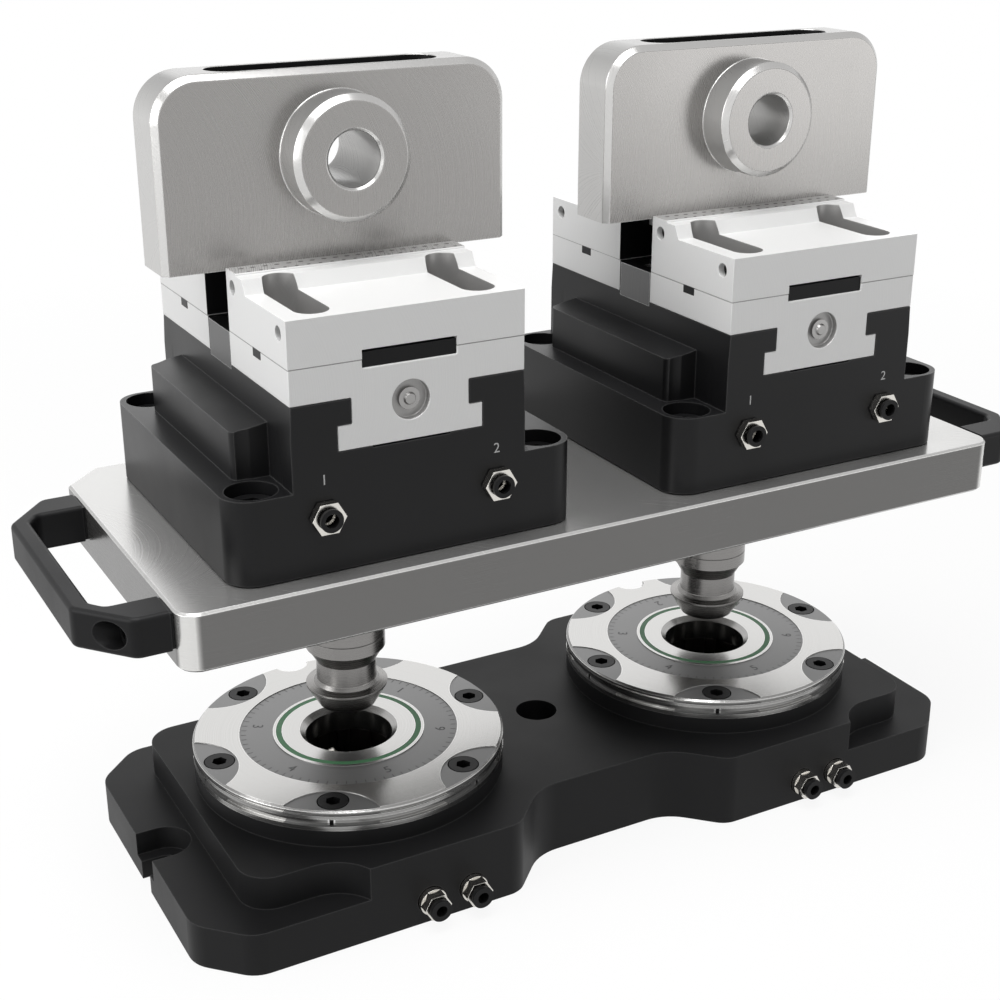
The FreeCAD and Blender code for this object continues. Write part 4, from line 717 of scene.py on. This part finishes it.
ringPrint = {"size": 7.0 * mm, "depth": 0.05 * mm, "radius": 42.4 * mm, "face": 53.1 * mm, "numerals": 6,
             "ticks": 72, "tickInner": 47.0 * mm, "tickOuter": 49.3 * mm, "tickWidth": 0.35 * mm}


def makeRingScale(side, x):
    # numerals and graduations on the matte ring of a module
    marks = []
    for index in range(ringPrint["numerals"]):
        angle = math.tau * (index + 0.5) / ringPrint["numerals"]
        label = flatText(f"ringNumeral{index}", str(index + 1), ringPrint["size"], ringPrint["depth"])
        label.rotation_euler = (0, 0, angle + math.pi / 2)
        label.location = (x + ringPrint["radius"] * math.cos(angle), ringPrint["radius"] * math.sin(angle),
                          ringPrint["face"])
        bakePlace(label)
        marks.append(label)
    deselectAll()
    middle = (ringPrint["tickInner"] + ringPrint["tickOuter"]) / 2
    bpy.ops.mesh.primitive_cube_add(size=1, location=(middle, 0, ringPrint["face"]))
    tick = bpy.context.object
    tick.scale = (ringPrint["tickOuter"] - ringPrint["tickInner"], ringPrint["tickWidth"], ringPrint["depth"])
    bakePlace(tick)
    for index in range(ringPrint["ticks"]):
        copy = bpy.data.objects.new(f"tick{index}", tick.data.copy())
        bpy.context.scene.collection.objects.link(copy)
        copy.rotation_euler = (0, 0, math.tau * index / ringPrint["ticks"])
        copy.location = (x, 0, 0)
        bakePlace(copy)
        marks.append(copy)
    bpy.data.objects.remove(tick)
    whole = joinPieces(f"ringScale{side.capitalize()}", marks)
    setMaterial(whole, greyPrint)
    attach(whole, "base")


teeth = {"pitch": 5.0 * mm, "rows": ((17.0 * mm, 2.4 * mm, 1.5 * mm), (22.4 * mm, 1.7 * mm, 1.3 * mm)),
         "top": 278.0 * mm, "depth": 0.06 * mm, "count": 19, "sides": 8}
darkMark = plainFinish("toothShadow", {**printLook, "dark": (0.05, 0.047, 0.045, 1),
                                       "light": (0.12, 0.115, 0.11, 1)})


def makeGripTeeth(side, x, end, sign):
    # rows of small dark marks along the grip strip: painted shade of its teeth
    marks = []
    for row, (place, length, width) in enumerate(teeth["rows"]):
        for index in range(teeth["count"]):
            deselectAll()
            along = x + (index - (teeth["count"] - 1) / 2) * teeth["pitch"] + row * teeth["pitch"] / 4
            bpy.ops.mesh.primitive_cylinder_add(vertices=teeth["sides"], radius=0.5, depth=teeth["depth"],
                                                location=(along, sign * place, teeth["top"]))
            mark = bpy.context.object
            mark.scale = (length, width, 1)
            bakePlace(mark)
            marks.append(mark)
    whole = joinPieces(f"gripTeeth{side.capitalize()}{end.capitalize()}", marks)
    setMaterial(whole, darkMark)
    attach(whole, f"jaw_{side}_{end}")


for side, x in sides.items():
    makePortNumerals(side, x)
    makeRingScale(side, x)
    for end, sign in ends.items():
        makeGripTeeth(side, x, end, sign)
print("marks made")


# floor, light and camera

studio = {"floor": (0.88, 0.88, 0.88, 1), "bounce": (0.45, 0.45, 0.45, 1), "nearWhite": 0.9, "nearReach": 0.4,
          "farReach": 1.1, "floorSize": 30.0, "floorHeight": -0.2 * mm, "floorRough": 0.9,
          "floorSpecular": 0.2, "world": 0.25, "white": (1, 1, 1, 1)}


def makeFloor():
    # a pale floor that is seen as white away from the object and keeps its shadow
    deselectAll()
    bpy.ops.mesh.primitive_plane_add(size=studio["floorSize"], location=(0, 0, studio["floorHeight"]))
    floor = bpy.context.object
    floor.name = "studioFloor"
    material, tree, shader = newMaterial("paleFloor", 0.0, studio["floorSpecular"])
    shader.inputs["Roughness"].default_value = studio["floorRough"]
    glow = tree.nodes.new("ShaderNodeEmission")
    path = tree.nodes.new("ShaderNodeLightPath")
    mix = tree.nodes.new("ShaderNodeMixShader")
    shown = addMath(tree, "MAXIMUM", path.outputs["Is Camera Ray"], path.outputs["Is Glossy Ray"])
    shown = addMath(tree, "MAXIMUM", shown, path.outputs["Is Transmission Ray"])
    tree.links.new(addColourMix(tree, shown, studio["bounce"], studio["floor"]), shader.inputs["Base Color"])
    place = tree.nodes.new("ShaderNodeTexCoord")
    reach = tree.nodes.new("ShaderNodeVectorMath")
    reach.operation = "LENGTH"
    tree.links.new(place.outputs["Object"], reach.inputs[0])
    white = addRange(tree, reach.outputs["Value"], studio["nearReach"], studio["farReach"],
                     studio["nearWhite"], 1.0)
    tree.links.new(addMath(tree, "MULTIPLY", shown, white), mix.inputs[0])
    tree.links.new(shader.outputs[0], mix.inputs[1])
    tree.links.new(glow.outputs[0], mix.inputs[2])
    tree.links.new(mix.outputs[0], tree.nodes["Material Output"].inputs["Surface"])
    floor.data.materials.append(material)


def makeWorld():
    # soft light on the object, and white where the world itself is seen
    world = bpy.data.worlds.new("studioWorld")
    bpy.context.scene.world = world
    world.use_nodes = True
    tree = world.node_tree
    base = tree.nodes["Background"]
    base.inputs["Color"].default_value = studio["white"]
    base.inputs["Strength"].default_value = studio["world"]
    seen = tree.nodes.new("ShaderNodeBackground")
    seen.inputs["Color"].default_value = studio["white"]
    seen.inputs["Strength"].default_value = 1.0
    path = tree.nodes.new("ShaderNodeLightPath")
    mix = tree.nodes.new("ShaderNodeMixShader")
    shown = addMath(tree, "MAXIMUM", path.outputs["Is Camera Ray"], path.outputs["Is Glossy Ray"])
    tree.links.new(addMath(tree, "MAXIMUM", shown, path.outputs["Is Transmission Ray"]), mix.inputs[0])
    tree.links.new(base.outputs[0], mix.inputs[1])
    tree.links.new(seen.outputs[0], mix.inputs[2])
    tree.links.new(mix.outputs[0], tree.nodes["World Output"].inputs["Surface"])


lampTarget = (0.0, 0.0, 0.17)
lamps = {
    "backSoftbox": {"place": (0.8, 1.5, 1.0), "width": 1.6, "height": 1.1, "power": 4.0},
    "leftSoftbox": {"place": (-1.5, -0.1, 0.7), "width": 1.0, "height": 1.0, "power": 11.0},
    "topSoftbox": {"place": (-0.3, -0.2, 1.5), "width": 1.0, "height": 1.0, "power": 20.0},
    "rightCard": {"place": (0.95, -1.0, 0.25), "width": 0.6, "height": 0.4, "power": 1.3},
}


def makeLamp(name, settings):
    deselectAll()
    bpy.ops.object.light_add(type="AREA", location=settings["place"])
    lamp = bpy.context.object
    lamp.name = name
    lamp.data.shape = "RECTANGLE"
    lamp.data.size = settings["width"]
    lamp.data.size_y = settings["height"]
    lamp.data.energy = settings["power"]
    direction = Vector(lampTarget) - Vector(settings["place"])
    lamp.rotation_euler = direction.to_track_quat("-Z", "Y").to_euler()


makeFloor()
makeWorld()
for name, settings in lamps.items():
    makeLamp(name, settings)

cameraPlace = {"x": -0.35767, "y": -0.61514, "z": 0.43186, "azimuth": -28.71, "elevation": 21.82,
               "lens": 58.98, "sensor": 36.0, "shiftX": 0.0007, "shiftY": -0.0002, "clipStart": 0.01}


def makeCamera(settings):
    deselectAll()
    bpy.ops.object.camera_add(location=(settings["x"], settings["y"], settings["z"]))
    camera = bpy.context.object
    camera.rotation_euler = (math.radians(90 - settings["elevation"]), 0, math.radians(settings["azimuth"]))
    camera.data.lens = settings["lens"]
    camera.data.sensor_width = settings["sensor"]
    camera.data.shift_x = settings["shiftX"]
    camera.data.shift_y = settings["shiftY"]
    camera.data.clip_start = settings["clipStart"]
    bpy.context.scene.camera = camera


makeCamera(cameraPlace)
bpy.context.scene.view_settings.view_transform = "Standard"
print("studio ready")
